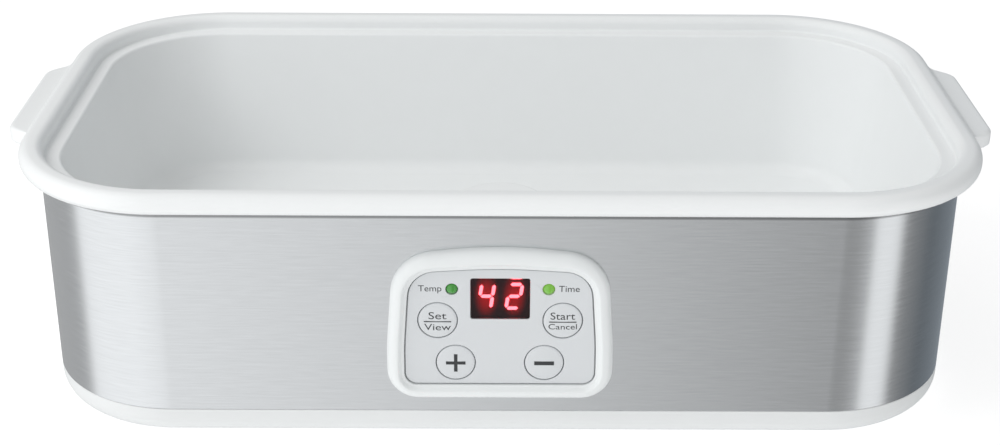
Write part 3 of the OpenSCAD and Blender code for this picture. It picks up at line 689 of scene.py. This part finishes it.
class YOGURT_OT_bezel(bpy.types.Operator):
    """White frame of the control panel, with a domed face and a groove round the face plate"""

    bl_idname = "yogurt.bezel"
    bl_label = "Bezel"

    def execute(self, context):
        outside, inside = round_corners(bezel_outline(), 10), round_corners(face_outline(), 10)
        seat = BAND_LOW.y
        crest = seat - BEZEL_LOW.y
        # Share of the way from the outer to the inner outline, and height over the jacket for a 4.4 mm crest
        shape = [(0.03, -0.2), (0.03, 0), (0, 0.15), (0, 1.1)]
        shape += [(0.62 - 0.62 * math.cos(math.radians(a)), 1.1 + 3.3 * math.sin(math.radians(a)))
                  for a in (10, 20, 30, 40, 50, 60, 70, 80, 90)]
        shape += [(0.67, 4.3), (0.72, 4.05), (0.77, 3.7), (0.82, 3.38), (0.87, 3.16)]
        shape += [(0.91, 3.1), (0.95, 3.1), (0.98, 3.0), (0.995, 2.85), (1, 2.6), (1, 0.5)]
        rings = []
        for share, depth in shape:
            rings.append([Vector((p.x, seat - mm(depth) * crest / mm(4.4), p.y))
                          for p in (a[0].lerp(b[0], share) for a, b in zip(outside, inside))])
        rings.append(facing(inside, mm(0.8), seat - mm(0.5)))
        rings.append(facing(inside, mm(0.8), seat + mm(1.2)))
        rings.append(facing(inside, -mm(0.5), seat + mm(1.2)))
        rings.append(facing(inside, -mm(0.5), seat - mm(0.2)))
        bm = bmesh.new()
        skin(bm, rings + rings[:1])
        add_piece("bezel_shell", bm, "bezel_plastic", stands_for=["control_bezel"])
        return {"FINISHED"}


class YOGURT_OT_face(bpy.types.Operator):
    """Satin face plate with softly rounded openings for the keys, window and lights"""

    bl_idname = "yogurt.face"
    bl_label = "Face Plate"

    def execute(self, context):
        panel = context.scene.yogurt_panel
        front, back, soft = FACE_LOW.y, FACE_HIGH.y, mm(0.25)
        edge = round_corners(face_outline(), 10)
        low, high, _ = node_box("display_window")
        holes = [rounded_box(low, high, mm(0.9), mm(0.8), 5)]
        rounds = [(box[2].x, box[2].z, panel.key_radius + panel.key_gap) for _, _, box in key_boxes()]
        _, _, lamp = node_box("indicator_lights")
        rounds += [(x, lamp.z, panel.light_radius + mm(0.12)) for x in LAMPS]
        for x, z, radius in rounds:
            hole = circle((x, z), radius, "Y", 0)
            holes.append([(Vector((p.x, p.z)), Vector((p.x - x, p.z - z)).normalized()) for p in hole])
        bm = bmesh.new()
        outer = skin(bm, [
            facing(edge, panel.groove, back),
            facing(edge, panel.groove, front + soft),
            facing(edge, panel.groove + soft * 0.3, front + soft * 0.3),
            facing(edge, panel.groove + soft, front),
        ])
        fronts, backs = [outer[-1]], [outer[0]]
        for hole in holes:
            rings = skin(bm, [
                facing(hole, 0, back),
                facing(hole, 0, front + soft),
                facing(hole, -soft * 0.3, front + soft * 0.3),
                facing(hole, -soft, front),
            ])
            fronts.append(rings[-1])
            backs.append(rings[0])
        fill(bm, fronts, Vector((0, -1, 0)))
        fill(bm, backs, Vector((0, 1, 0)))
        add_piece("face_panel", bm, "face_plastic", stands_for=["face_plate"])
        return {"FINISHED"}


class YOGURT_OT_keys(bpy.types.Operator):
    """Four round keys with a slightly domed face, a flange behind the face plate and a stem"""

    bl_idname = "yogurt.keys"
    bl_label = "Keys"

    def execute(self, context):
        radius = context.scene.yogurt_panel.key_radius
        for name, body, (low, high, middle) in key_boxes():
            front, flange = low.y, FACE_HIGH.y + mm(0.1)
            soft, stem = mm(0.5), mm(2)
            brim, flange_back = high.x - middle.x, flange + mm(0.8)
            profile = [(soft, front)]
            profile += [(radius * s, front + KEY_BULGE * s * s) for s in (0.25, 0.5, 0.7, 0.85)]
            profile += arc((radius - soft, front + KEY_BULGE + mm(0.45)), soft, -75, 0, 5)
            profile += [(radius, flange), (brim, flange), (brim, flange_back)]
            profile += [(stem, flange_back), (stem, high.y)]
            if radius > brim or high.y <= flange_back:
                raise RuntimeError(f"{name} is too big for its CAD node")
            bm = bmesh.new()
            turned(bm, (middle.x, middle.z), "Y", profile)
            add_piece(f"{name}_cap", bm, "key_plastic", body, [name])
        return {"FINISHED"}


class YOGURT_OT_lamps(bpy.types.Operator):
    """Domed lenses of the two indicator lights"""

    bl_idname = "yogurt.lamps"
    bl_label = "Indicator Lights"

    def execute(self, context):
        radius = context.scene.yogurt_panel.light_radius
        low, high, middle = node_box("indicator_lights")
        bm = bmesh.new()
        rise, brim, flange = mm(1.6), mm(2.4), FACE_HIGH.y + mm(0.2)
        for x in LAMPS:
            dome = arc((0, low.y + rise), radius, -86, 0, 10)
            profile = [(r, mix(low.y + rise, y, rise / radius)) for r, y in dome]
            profile += [(radius, flange), (brim, flange), (brim, high.y)]
            turned(bm, (x, middle.z), "Y", profile, 48)
        add_piece("lamp_lenses", bm, "light_green", stands_for=["indicator_lights"])
        return {"FINISHED"}


# Segments lit for each figure: top, upper right, lower right, bottom, lower left, upper left, middle
FIGURES = {
    "0": "abcdef", "1": "bc", "2": "abged", "3": "abgcd", "4": "fgbc",
    "5": "afgcd", "6": "afgedc", "7": "abc", "8": "abcdefg", "9": "abcdfg",
}


class YOGURT_OT_display(bpy.types.Operator):
    """Smoked window and the lit segments behind it"""

    bl_idname = "yogurt.display"
    bl_label = "Display"

    def execute(self, context):
        panel = context.scene.yogurt_panel
        low, high, _ = node_box("display_window")
        pane = rounded_box(low, high, mm(1.05), mm(0.7), 5)
        flange = FACE_HIGH.y + mm(0.05)
        bm = bmesh.new()
        solid(bm, [
            facing(pane, mm(0.2), low.y + mm(0.1)),
            facing(pane, mm(0.05), low.y + mm(0.15)),
            facing(pane, 0, low.y + mm(0.3)),
            facing(pane, 0, flange),
            facing(pane, -mm(1), flange),
            facing(pane, -mm(1), high.y),
        ])
        add_piece("window_pane", bm, "window_glass", stands_for=["display_window"])
        low, high, _ = node_box("display_module")
        mask = rounded_box(low, high, mm(0.1), mm(0.3), 3)
        bm = bmesh.new()
        solid(bm, [facing(mask, 0, low.y - mm(0.05)), facing(mask, 0, low.y)])
        piece = add_piece("display_mask", bm, "black_plastic")
        # The mask's red glow round the figures is painted light
        piece.data.materials[0] = segment_mask("segment_mask_finish")
        low, high, middle = node_box("display_digits")
        # A figure's height and width, the gap at a segment's ends and the lean of the figures
        tall, wide, thick = mm(10.2), mm(5.4), panel.segment_width
        gap, slant = mm(0.25), math.tan(math.radians(8))
        x, z = wide / 2 - thick / 2, tall / 2 - thick / 2
        ends = {
            "a": ((-x, z), (x, z)), "b": ((x, z), (x, 0)), "c": ((x, 0), (x, -z)), "d": ((-x, -z), (x, -z)),
            "e": ((-x, 0), (-x, -z)), "f": ((-x, z), (-x, 0)), "g": ((-x, 0), (x, 0)),
        }
        bm = bmesh.new()
        for figure, centre in zip(panel.shown, (-mm(4.75), mm(4.75))):
            if figure not in FIGURES:
                raise RuntimeError("the display shows figures only")
            for segment in FIGURES[figure]:
                start, end = (Vector(p) for p in ends[segment])
                along = (end - start).normalized()
                side = Vector((-along.y, along.x)) * thick / 2
                start, end = start + along * gap, end - along * gap
                tip = along * thick / 2
                ring = [start, start + tip + side, end - tip + side]
                ring += [end, end - tip - side, start + tip - side]
                flat = [Vector((centre + p.x + p.y * slant, 0, middle.z + p.y)) for p in ring]
                solid(bm, [[Vector((p.x, y, p.z)) for p in flat] for y in (low.y, high.y)])
        add_piece("lit_segments", bm, "digit_glow", stands_for=["display_digits"])
        return {"FINISHED"}


# Legends: piece, word, nearest key, then middle and bottom from that key's middle, width and height, in mm
LEGENDS = (
    ("legend_set", "Set", "key_set_view", 0, 0.6, 6.1, 2.7),
    ("legend_view", "View", "key_set_view", 0, -3.7, 9.1, 2.5),
    ("legend_start", "Start", "key_start_cancel", 0, 0.6, 8.4, 2.7),
    ("legend_cancel", "Cancel", "key_start_cancel", 0, -3.2, 9.7, 2.1),
    ("legend_temp", "Temp", "key_set_view", -2.5, 10.4, 7.9, 3.0),
    ("legend_time", "Time", "key_start_cancel", 2.0, 11.1, 7.0, 2.3),
)


def print_flat(name, boxes, y, x, z, body):
    """Thin printed mark of flat (left, bottom, right, top) boxes, in mm, round (x, z)."""
    bm = bmesh.new()
    for left, bottom, right, top in boxes:
        ring = [(left, bottom), (right, bottom), (right, top), (left, top)]
        rings = [[Vector((x + mm(a), depth, z + mm(b))) for a, b in ring] for depth in (y, y + INK)]
        solid(bm, rings)
    add_piece(name, bm, "label_film", body)


class YOGURT_OT_legends(bpy.types.Operator):
    """Dark printed words and signs on the keys and the face plate"""

    bl_idname = "yogurt.legends"
    bl_label = "Legends"

    def execute(self, context):
        keys = {name: (body, box) for name, body, box in key_boxes()}
        radius, extrude = context.scene.yogurt_panel.key_radius, 0.01
        for name, words, key, right, up, width, height in LEGENDS:
            body, (low, _, middle) = keys[key]
            on_plate = mm(up) > radius
            curve = bpy.data.curves.new("words", "FONT")
            curve.body = words
            curve.align_x = "CENTER"
            curve.extrude = extrude
            curve.resolution_u = 4
            words_object = bpy.data.objects.new("words", curve)
            context.scene.collection.objects.link(words_object)
            context.view_layer.update()
            bm = bmesh.new()
            bm.from_mesh(words_object.evaluated_get(context.evaluated_depsgraph_get()).to_mesh())
            bpy.data.objects.remove(words_object)
            bpy.data.curves.remove(curve)
            xs, ys = [v.co.x for v in bm.verts], [v.co.y for v in bm.verts]
            base = min(ys)
            scale_x, scale_z = mm(width) / (max(xs) - min(xs)), mm(height) / (max(ys) - base)
            centre = (max(xs) + min(xs)) / 2
            for v in bm.verts:
                x = middle.x + mm(right) + (v.co.x - centre) * scale_x
                z = middle.z + mm(up) + (v.co.y - base) * scale_z
                away = math.hypot(x - middle.x, z - middle.z) / radius
                skin_y = FACE_LOW.y if on_plate else low.y + KEY_BULGE * away * away
                if not on_plate and away > 0.97:
                    skin_y = FACE_LOW.y
                v.co = (x, skin_y - INK / 2 + v.co.z / extrude * INK / 2, z)
            add_piece(name, bm, "label_film", HOUSING if on_plate else body)
        for key, boxes in (
            ("key_plus", [(-3.35, -0.6, 3.35, 0.6), (-0.6, 0.6, 0.6, 3.4), (-0.6, -3.4, 0.6, -0.6)]),
            ("key_minus", [(-3.4, -0.75, 3.4, 0.75)]),
        ):
            body, (low, _, middle) = keys[key]
            print_flat(key.replace("key", "sign"), boxes, low.y - INK * 0.2, middle.x, middle.z, body)
        for key in ("key_set_view", "key_start_cancel"):
            body, (low, _, middle) = keys[key]
            box = [(-4.65, -0.5, 4.65, -0.15)]
            print_flat(key.replace("key", "rule"), box, low.y - INK * 0.2, middle.x, middle.z, body)
        return {"FINISHED"}


# Finishes


def add(tree, kind, inputs=None, **settings):
    """Adds a shader node with its settings, and feeds its inputs with values or with other nodes' outputs."""
    node = tree.nodes.new(f"ShaderNode{kind}")
    for key, value in settings.items():
        setattr(node, key, value)
    for key, value in (inputs or {}).items():
        if isinstance(value, bpy.types.NodeSocket):
            tree.links.new(value, node.inputs[key])
        else:
            node.inputs[key].default_value = value
    return node


def user_colour(name):
    """A colour that the user can change, as linear RGB."""
    return list(getattr(bpy.context.scene.yogurt_colours, name))


def surface(name, code, **values):
    """New material of one colour, an sRGB hex code or linear RGB, with its node tree and shader."""
    material = bpy.data.materials.new(name)
    material.use_nodes = True
    tree = material.node_tree
    tree.nodes.clear()
    tone = linear(code) if isinstance(code, str) else code
    inputs = {key.replace("_", " "): value for key, value in values.items()}
    shader = add(tree, "BsdfPrincipled", {"Base Color": tone + [1], **inputs})
    add(tree, "OutputMaterial", {"Surface": shader.outputs[0]})
    return material, tree, shader


def grained(made, size, height, shade=0.0, stretch=(1, 1, 1)):
    """Adds a fine raised grain and a faint change of shade, both in real sizes, to a surface."""
    material, tree, shader = made
    place = add(tree, "TexCoord").outputs["Object"]
    place = add(tree, "Mapping", {"Vector": place, "Scale": stretch}).outputs[0]
    noise = add(tree, "TexNoise", {"Vector": place, "Scale": 1 / size, "Detail": 3.0})
    bump = add(tree, "Bump", {"Height": noise.outputs[0], "Distance": height, "Strength": 1.0})
    tree.links.new(bump.outputs[0], shader.inputs["Normal"])
    if shade:
        tone = list(shader.inputs["Base Color"].default_value)
        dark = [c * (1 - shade) for c in tone[:3]] + [1]
        wide = add(tree, "TexNoise", {"Vector": place, "Scale": 0.1 / size, "Detail": 2.0})
        blend = add(tree, "MixRGB", {"Fac": wide.outputs[0], "Color1": dark, "Color2": tone})
        tree.links.new(blend.outputs[0], shader.inputs["Base Color"])
    return material


def moulded_plastic(name, colour_or_code, roughness, coat):
    """Injection moulded plastic: even colour, a soft sheen and a barely visible skin texture."""
    tone = colour_or_code if colour_or_code.startswith("#") else user_colour(colour_or_code)
    made = surface(name, tone, Roughness=roughness, IOR=1.5, Coat_Weight=coat, Coat_Roughness=0.12)
    return grained(made, mm(0.9), mm(0.003), 0.015)


def brushed_steel(name):
    """Stainless sheet brushed along its length: long fine streaks that smear reflections upright."""
    tone = user_colour("steel")
    made = surface(name, tone, Metallic=1.0, Roughness=0.24, Anisotropic=0.75, Anisotropic_Rotation=0.25)
    material, tree, shader = made
    tangent = add(tree, "Tangent", direction_type="RADIAL", axis="Z")
    tree.links.new(tangent.outputs[0], shader.inputs["Tangent"])
    place = add(tree, "TexCoord").outputs["Object"]
    layers = []
    for length_mm, width_mm, detail in ((24, 0.22, 3.0), (9, 0.5, 2.0)):
        sizes = (1 / mm(length_mm), 1 / mm(length_mm), 1 / mm(width_mm))
        spot = add(tree, "Mapping", {"Vector": place, "Scale": sizes})
        streaks = {"Vector": spot.outputs[0], "Scale": 1.0, "Detail": detail}
        layers.append(add(tree, "TexNoise", streaks))
    both = add(tree, "Math", {0: layers[0].outputs[0], 1: layers[1].outputs[0]}, operation="ADD")
    ramp = add(tree, "MapRange", {"Value": both.outputs[0], "From Min": 0.7, "From Max": 1.3,
                                            "To Min": 0.0, "To Max": 1.0})
    dark = [c * 0.95 for c in tone] + [1]
    light = [min(1.0, c * 1.03) for c in tone] + [1]
    blend = add(tree, "MixRGB", {"Fac": ramp.outputs[0], "Color1": dark, "Color2": light})
    # A darker colour along the top edge stands for the shadow between the jacket and the rim
    height = add(tree, "SeparateXYZ", {0: place}).outputs["Z"]
    hem = add(tree, "MapRange", {"Value": height, "From Min": BAND_HIGH.z - mm(2.7),
                                           "From Max": BAND_HIGH.z - mm(2.1), "To Min": 1.0, "To Max": 0.45})
    shaded = add(tree, "MixRGB", {"Fac": 1.0, "Color1": blend.outputs[0], "Color2": hem.outputs[0]},
                 blend_type="MULTIPLY")
    tree.links.new(shaded.outputs[0], shader.inputs["Base Color"])
    rough = add(tree, "MapRange", {"Value": ramp.outputs[0], "To Min": 0.21, "To Max": 0.27})
    tree.links.new(rough.outputs[0], shader.inputs["Roughness"])
    bump = add(tree, "Bump", {"Height": both.outputs[0], "Distance": mm(0.001), "Strength": 0.12})
    tree.links.new(bump.outputs[0], shader.inputs["Normal"])
    return material


def rolled_metal(name, code, roughness):
    """Plain rolled or turned metal inside the body."""
    made = surface(name, code, Metallic=1.0, Roughness=roughness)
    return grained(made, mm(0.4), mm(0.004), 0.05, (0.2, 1, 1))


def smoked_window(name):
    """Smoked acrylic in front of the display; its IOR is below acrylic's 1.49, for weaker reflections."""
    made = surface(name, "#66484E", Roughness=0.04, IOR=1.3, Transmission_Weight=0.9)
    return grained(made, mm(3), mm(0.0004))


def segment_mask(name):
    """Dark red film between the segments, with a painted red glow round each figure, brightest at its middle
    and fading outwards.
    """
    made = surface(name, "#8C0E18", Roughness=0.6, Emission_Color=linear("#F00818") + [1])
    _, tree, shader = made
    place = add(tree, "TexCoord").outputs["Object"]
    parts = add(tree, "SeparateXYZ", {0: place})
    aside = add(tree, "Math", {0: parts.outputs["X"]}, operation="ABSOLUTE")
    _, _, middle = node_box("display_digits")
    reach = {"From Min": mm(0.25), "From Max": mm(9.25), "To Min": -1.3, "To Max": 1.3}
    across = add(tree, "MapRange", {"Value": aside.outputs[0], **reach}, clamp=False)
    along = add(tree, "MapRange", {"Value": parts.outputs["Z"], "From Min": middle.z - mm(7),
                                             "From Max": middle.z + mm(7), "To Min": -1.0, "To Max": 1.0},
                clamp=False)
    spot = add(tree, "CombineXYZ", {0: across.outputs[0], 1: along.outputs[0], 2: 0.0})
    away = add(tree, "VectorMath", {0: spot.outputs[0]}, operation="LENGTH")
    # Painted glow: emission strongest at the middle of each figure and none beyond its edges
    glow = add(tree, "MapRange", {"Value": away.outputs["Value"], "From Min": 0.15, "From Max": 1.35,
                                            "To Min": 3.2, "To Max": 0.0}, interpolation_type="SMOOTHSTEP")
    tree.links.new(glow.outputs[0], shader.inputs["Emission Strength"])
    return grained(made, mm(0.5), mm(0.01), 0.1)


def lit_segment(name):
    """Lit segment of the display: one even pinkish red, far brighter than what is round it."""
    glow = user_colour("digits") + [1]
    made = surface(name, "#FF5A60", Roughness=0.5, Emission_Color=glow, Emission_Strength=40.0)
    return grained(made, mm(0.5), mm(0.01), 0.05)


def lamp_lens(name):
    """Clear green lens of an indicator light, the right-hand one lit from behind and the unlit left-hand one
    given a faint painted green glow.
    """
    made = surface(name, user_colour("lights"), Roughness=0.12, IOR=1.5, Coat_Weight=1.0)
    _, tree, shader = made
    place = add(tree, "TexCoord").outputs["Object"]
    across = add(tree, "SeparateXYZ", {0: place})
    lit = add(tree, "Math", {0: across.outputs[0], 1: 0.0}, operation="GREATER_THAN")
    # The left-hand lens's faint dark green glow is painted; the right-hand lens's brighter glow is its lamp
    glow = add(tree, "MixRGB", {"Fac": lit.outputs[0], "Color1": linear("#0B6A1C") + [1],
                                          "Color2": linear("#9CC63A") + [1]})
    tree.links.new(glow.outputs[0], shader.inputs["Emission Color"])
    power = add(tree, "MapRange", {"Value": lit.outputs[0], "To Min": 0.15, "To Max": 0.4})
    tree.links.new(power.outputs[0], shader.inputs["Emission Strength"])
    return grained(made, mm(1.5), mm(0.002))


def printed_ink(name):
    """Pad-printed ink: matt dark grey with slightly uneven density."""
    made = surface(name, user_colour("ink"), Roughness=0.55)
    return grained(made, mm(0.2), mm(0.001), 0.1)


def clear_glass(name):
    """Drawn glass tube of the fuse: clear, with faint waves."""
    made = surface(name, "#E8F0F0", Roughness=0.05, IOR=1.5, Transmission_Weight=0.9)
    return grained(made, mm(2), mm(0.001))


def soft_rubber(name, code):
    """Moulded rubber or silicone: dull, with a fine matt skin."""
    made = surface(name, code, Roughness=0.75, Sheen_Weight=0.1)
    return grained(made, mm(0.5), mm(0.01), 0.06)


def laminate(name):
    """Glass-fibre circuit board under green solder resist: the weave shows faintly through the gloss."""
    made = surface(name, "#1F5B34", Roughness=0.35, Coat_Weight=0.4, Coat_Roughness=0.15)
    return grained(made, mm(0.6), mm(0.01), 0.15)


def felt_board(name):
    """Pressed mineral insulation: dull and fibrous."""
    made = surface(name, "#C9C2B0", Roughness=0.95)
    return grained(made, mm(0.7), mm(0.15), 0.2, (1, 3, 1))


# Moulded plastics: colour, either one that the user can change or an sRGB code, roughness and gloss coat
PLASTICS = {
    "white_plastic": ("plastic", 0.36, 0.15),
    "white_base": ("base", 0.42, 0.0),
    "bezel_plastic": ("bezel", 0.28, 0.5),
    "face_plastic": ("face", 0.45, 0.0),
    "key_plastic": ("face", 0.42, 0.0),
    "black_plastic": ("#1E2022", 0.5, 0.0),
    "natural_plastic": ("#D8D4C6", 0.5, 0.0),
    "relay_blue": ("#2C5FA8", 0.4, 0.0),
    "ceramic_tan": ("#CBB38A", 0.6, 0.0),
}
FINISHES = {
    "steel_sheet": brushed_steel,
    "plain_steel": lambda n: rolled_metal(n, "#B9BCBE", 0.35),
    "aluminium_sheet": lambda n: rolled_metal(n, "#C9CBCC", 0.4),
    "window_glass": smoked_window,
    "digit_glow": lit_segment,
    "light_green": lamp_lens,
    "circuit_board": laminate,
    "rubber_foot": lambda n: soft_rubber(n, "#2A2B2C"),
    "silicone_red": lambda n: soft_rubber(n, "#A8382F"),
    "mineral_felt": felt_board,
    "cable_grey": lambda n: soft_rubber(n, "#B9BCBD"),
    "label_film": printed_ink,
    "fuse_glass": clear_glass,
}
MADE = {}


def finish(slot):
    """Material of a slot, made once."""
    if slot not in MADE:
        name = f"{slot}_finish"
        MADE[slot] = moulded_plastic(name, *PLASTICS[slot]) if slot in PLASTICS else FINISHES[slot](name)
    return MADE[slot]


class YOGURT_OT_carried(bpy.types.Operator):
    """Finishes for the CAD parts that stay as they are"""

    bl_idname = "yogurt.carried"
    bl_label = "Carried Parts"

    def execute(self, context):
        for item in context.scene.objects:
            if item.type != "MESH":
                continue
            for place in item.material_slots:
                slot = place.material.name.split(".")[0] if place.material else ""
                if slot in FINISHES or slot in PLASTICS:
                    place.link = "OBJECT"
                    place.material = finish(slot)
                elif not slot.endswith("_finish"):
                    raise RuntimeError(f"{item.name} has no finish for {slot}")
        return {"FINISHED"}


# Surroundings


def room(world):
    """Studio room that lights the body and shows in its gloss; the camera sees plain white behind it."""
    world.use_nodes = True
    tree = world.node_tree
    tree.nodes.clear()
    way = add(tree, "TexCoord").outputs["Generated"]
    parts = add(tree, "SeparateXYZ", {0: way})
    back = add(tree, "Math", {0: parts.outputs["Y"], 1: -1.0}, operation="MULTIPLY")
    angle = add(tree, "Math", {0: parts.outputs["X"], 1: back.outputs[0]}, operation="ARCTAN2")
    share = add(tree, "MapRange", {"Value": angle.outputs[0], "From Min": -math.pi, "From Max": math.pi})
    ramp = add(tree, "ValToRGB", {"Fac": share.outputs[0]})
    stops = ramp.color_ramp.elements
    stops[0].position, stops[1].position = 0.0, 1.0
    for i, (degrees, level) in enumerate(AZIMUTHS):
        place = (degrees + 180) / 360
        stop = stops[0] if i == 0 else stops[-1] if i == len(AZIMUTHS) - 1 else stops.new(place)
        # About half of each level, which the next node doubles, and bluer towards the right and the back
        cool = 0.05 if degrees > 75 else 0.0
        stop.color = (level * (0.5 - cool), level * 0.505, level * (0.512 + cool), 1)
    double = add(tree, "MixRGB", {"Fac": 1.0, "Color1": ramp.outputs[0], "Color2": (2, 2, 2, 1)},
                 blend_type="MULTIPLY")
    rise = add(tree, "MapRange", {"Value": parts.outputs["Z"], "From Min": 0.35, "From Max": 0.75},
               interpolation_type="SMOOTHSTEP")
    side = add(tree, "MapRange", {"Value": parts.outputs["X"], "From Min": -1.0, "From Max": 1.0,
                                            "To Min": TOP_LEFT, "To Max": TOP_RIGHT})
    top = add(tree, "CombineColor", {0: side.outputs[0], 1: side.outputs[0], 2: side.outputs[0]})
    whole = add(tree, "MixRGB", {"Fac": rise.outputs[0], "Color1": double.outputs[0],
                                           "Color2": top.outputs[0]})
    lit = add(tree, "Background", {"Color": whole.outputs[0], "Strength": 1.0})
    plain = add(tree, "Background", {"Color": (1, 1, 1, 1), "Strength": 1.0})
    seen = add(tree, "LightPath")
    choose = add(tree, "MixShader", {0: seen.outputs["Is Camera Ray"], 1: lit.outputs[0],
                                               2: plain.outputs[0]})
    add(tree, "OutputWorld", {"Surface": choose.outputs[0]})


# Brightness of the room round the body, by degrees from the front, right positive
AZIMUTHS = (
    (-180, 0.42), (-130, 0.44), (-100, 0.44), (-92, 0.52), (-85, 1.04), (-40, 1.05), (-17, 0.96),
    (0, 0.68), (17, 0.31), (28, 0.36), (38, 0.50), (42, 0.94), (62, 0.96), (69, 0.29), (100, 0.15),
    (140, 0.24), (180, 0.42),
)
TOP_LEFT, TOP_RIGHT = 0.90, 0.44
# Camera: place, focal length and sensor width in millimetres, turns in degrees
CAMERA_PLACE = (-1.449, -611.576, 329.806)
CAMERA_TURNS = (64.95662, -0.26570, -0.01163)
CAMERA_LENS, CAMERA_SENSOR = 62.26, 36
# Soft box: place and diameter in metres, power in watts
BOX_PLACE, BOX_SIZE, BOX_POWER = (-0.7, -0.3, 0.8), 0.8, 3.5


class YOGURT_OT_stage(bpy.types.Operator):
    """Pale floor that glows a little by itself, soft room light and the camera"""

    bl_idname = "yogurt.stage"
    bl_label = "Stage"

    def execute(self, context):
        scene = context.scene
        scene.view_settings.view_transform = "Standard"
        world = bpy.data.worlds.new("room")
        scene.world = world
        room(world)
        bm = bmesh.new()
        reach = mm(6000)
        corners = [bm.verts.new((x, y, 0)) for x, y in ((-1, -1), (1, -1), (1, 1), (-1, 1))]
        bm.faces.new(corners)
        for vert in corners:
            vert.co = vert.co * reach
        mesh = bpy.data.meshes.new("floor")
        bm.to_mesh(mesh)
        bm.free()
        glow = {"Emission_Color": (1, 1, 1, 1), "Emission_Strength": 0.66}
        made = surface("floor_finish", "#C4C4C4", Roughness=0.9, **glow)
        mesh.materials.append(grained(made, mm(4), mm(0.001)))
        floor = bpy.data.objects.new("floor", mesh)
        scene.collection.objects.link(floor)
        floor.visible_glossy = False
        panel = bpy.data.lights.new("soft_box", "AREA")
        panel.shape = "DISK"
        panel.size = BOX_SIZE
        panel.energy = BOX_POWER
        box = bpy.data.objects.new("soft_box", panel)
        box.location = BOX_PLACE
        box.rotation_euler = (-box.location).to_track_quat("-Z", "Y").to_euler()
        box.visible_camera = False
        box.visible_glossy = False
        scene.collection.objects.link(box)
        lens = bpy.data.cameras.new("camera")
        lens.lens = CAMERA_LENS
        lens.sensor_width = CAMERA_SENSOR
        lens.shift_y = -0.00077
        lens.clip_start = 0.01
        camera = bpy.data.objects.new("camera", lens)
        camera.location = [mm(value) for value in CAMERA_PLACE]
        camera.rotation_euler = Euler([math.radians(turn) for turn in CAMERA_TURNS], "XYZ")
        scene.collection.objects.link(camera)
        scene.camera = camera
        return {"FINISHED"}


# Sidebar and registration

OPERATORS = (
    YOGURT_OT_tub,
    YOGURT_OT_jacket,
    YOGURT_OT_base,
    YOGURT_OT_gland,
    YOGURT_OT_bezel,
    YOGURT_OT_face,
    YOGURT_OT_keys,
    YOGURT_OT_lamps,
    YOGURT_OT_display,
    YOGURT_OT_legends,
    YOGURT_OT_carried,
    YOGURT_OT_stage,
)


class YOGURT_PT_sidebar(bpy.types.Panel):
    """Builds every piece and shows the sizes and colours they use"""

    bl_idname = "YOGURT_PT_sidebar"
    bl_label = "Yogurt Maker"
    bl_space_type = "VIEW_3D"
    bl_region_type = "UI"
    bl_category = "Yogurt Maker"

    def draw(self, context):
        for name, _ in GROUPS:
            box = self.layout.box()
            group = getattr(context.scene, name)
            for key in group.__annotations__:
                box.prop(group, key)
        for operator in OPERATORS:
            self.layout.operator(operator.bl_idname)


def register():
    for name, group in GROUPS:
        bpy.utils.register_class(group)
        setattr(bpy.types.Scene, name, bpy.props.PointerProperty(type=group))
    for item in OPERATORS + (YOGURT_PT_sidebar,):
        bpy.utils.register_class(item)


def unregister():
    for item in reversed(OPERATORS + (YOGURT_PT_sidebar,)):
        bpy.utils.unregister_class(item)
    for name, group in reversed(GROUPS):
        delattr(bpy.types.Scene, name)
        bpy.utils.unregister_class(group)


def main():
    register()
    for operator in OPERATORS:
        getattr(bpy.ops.yogurt, operator.bl_idname.split(".")[1])()


if __name__ == "__main__":
    main()
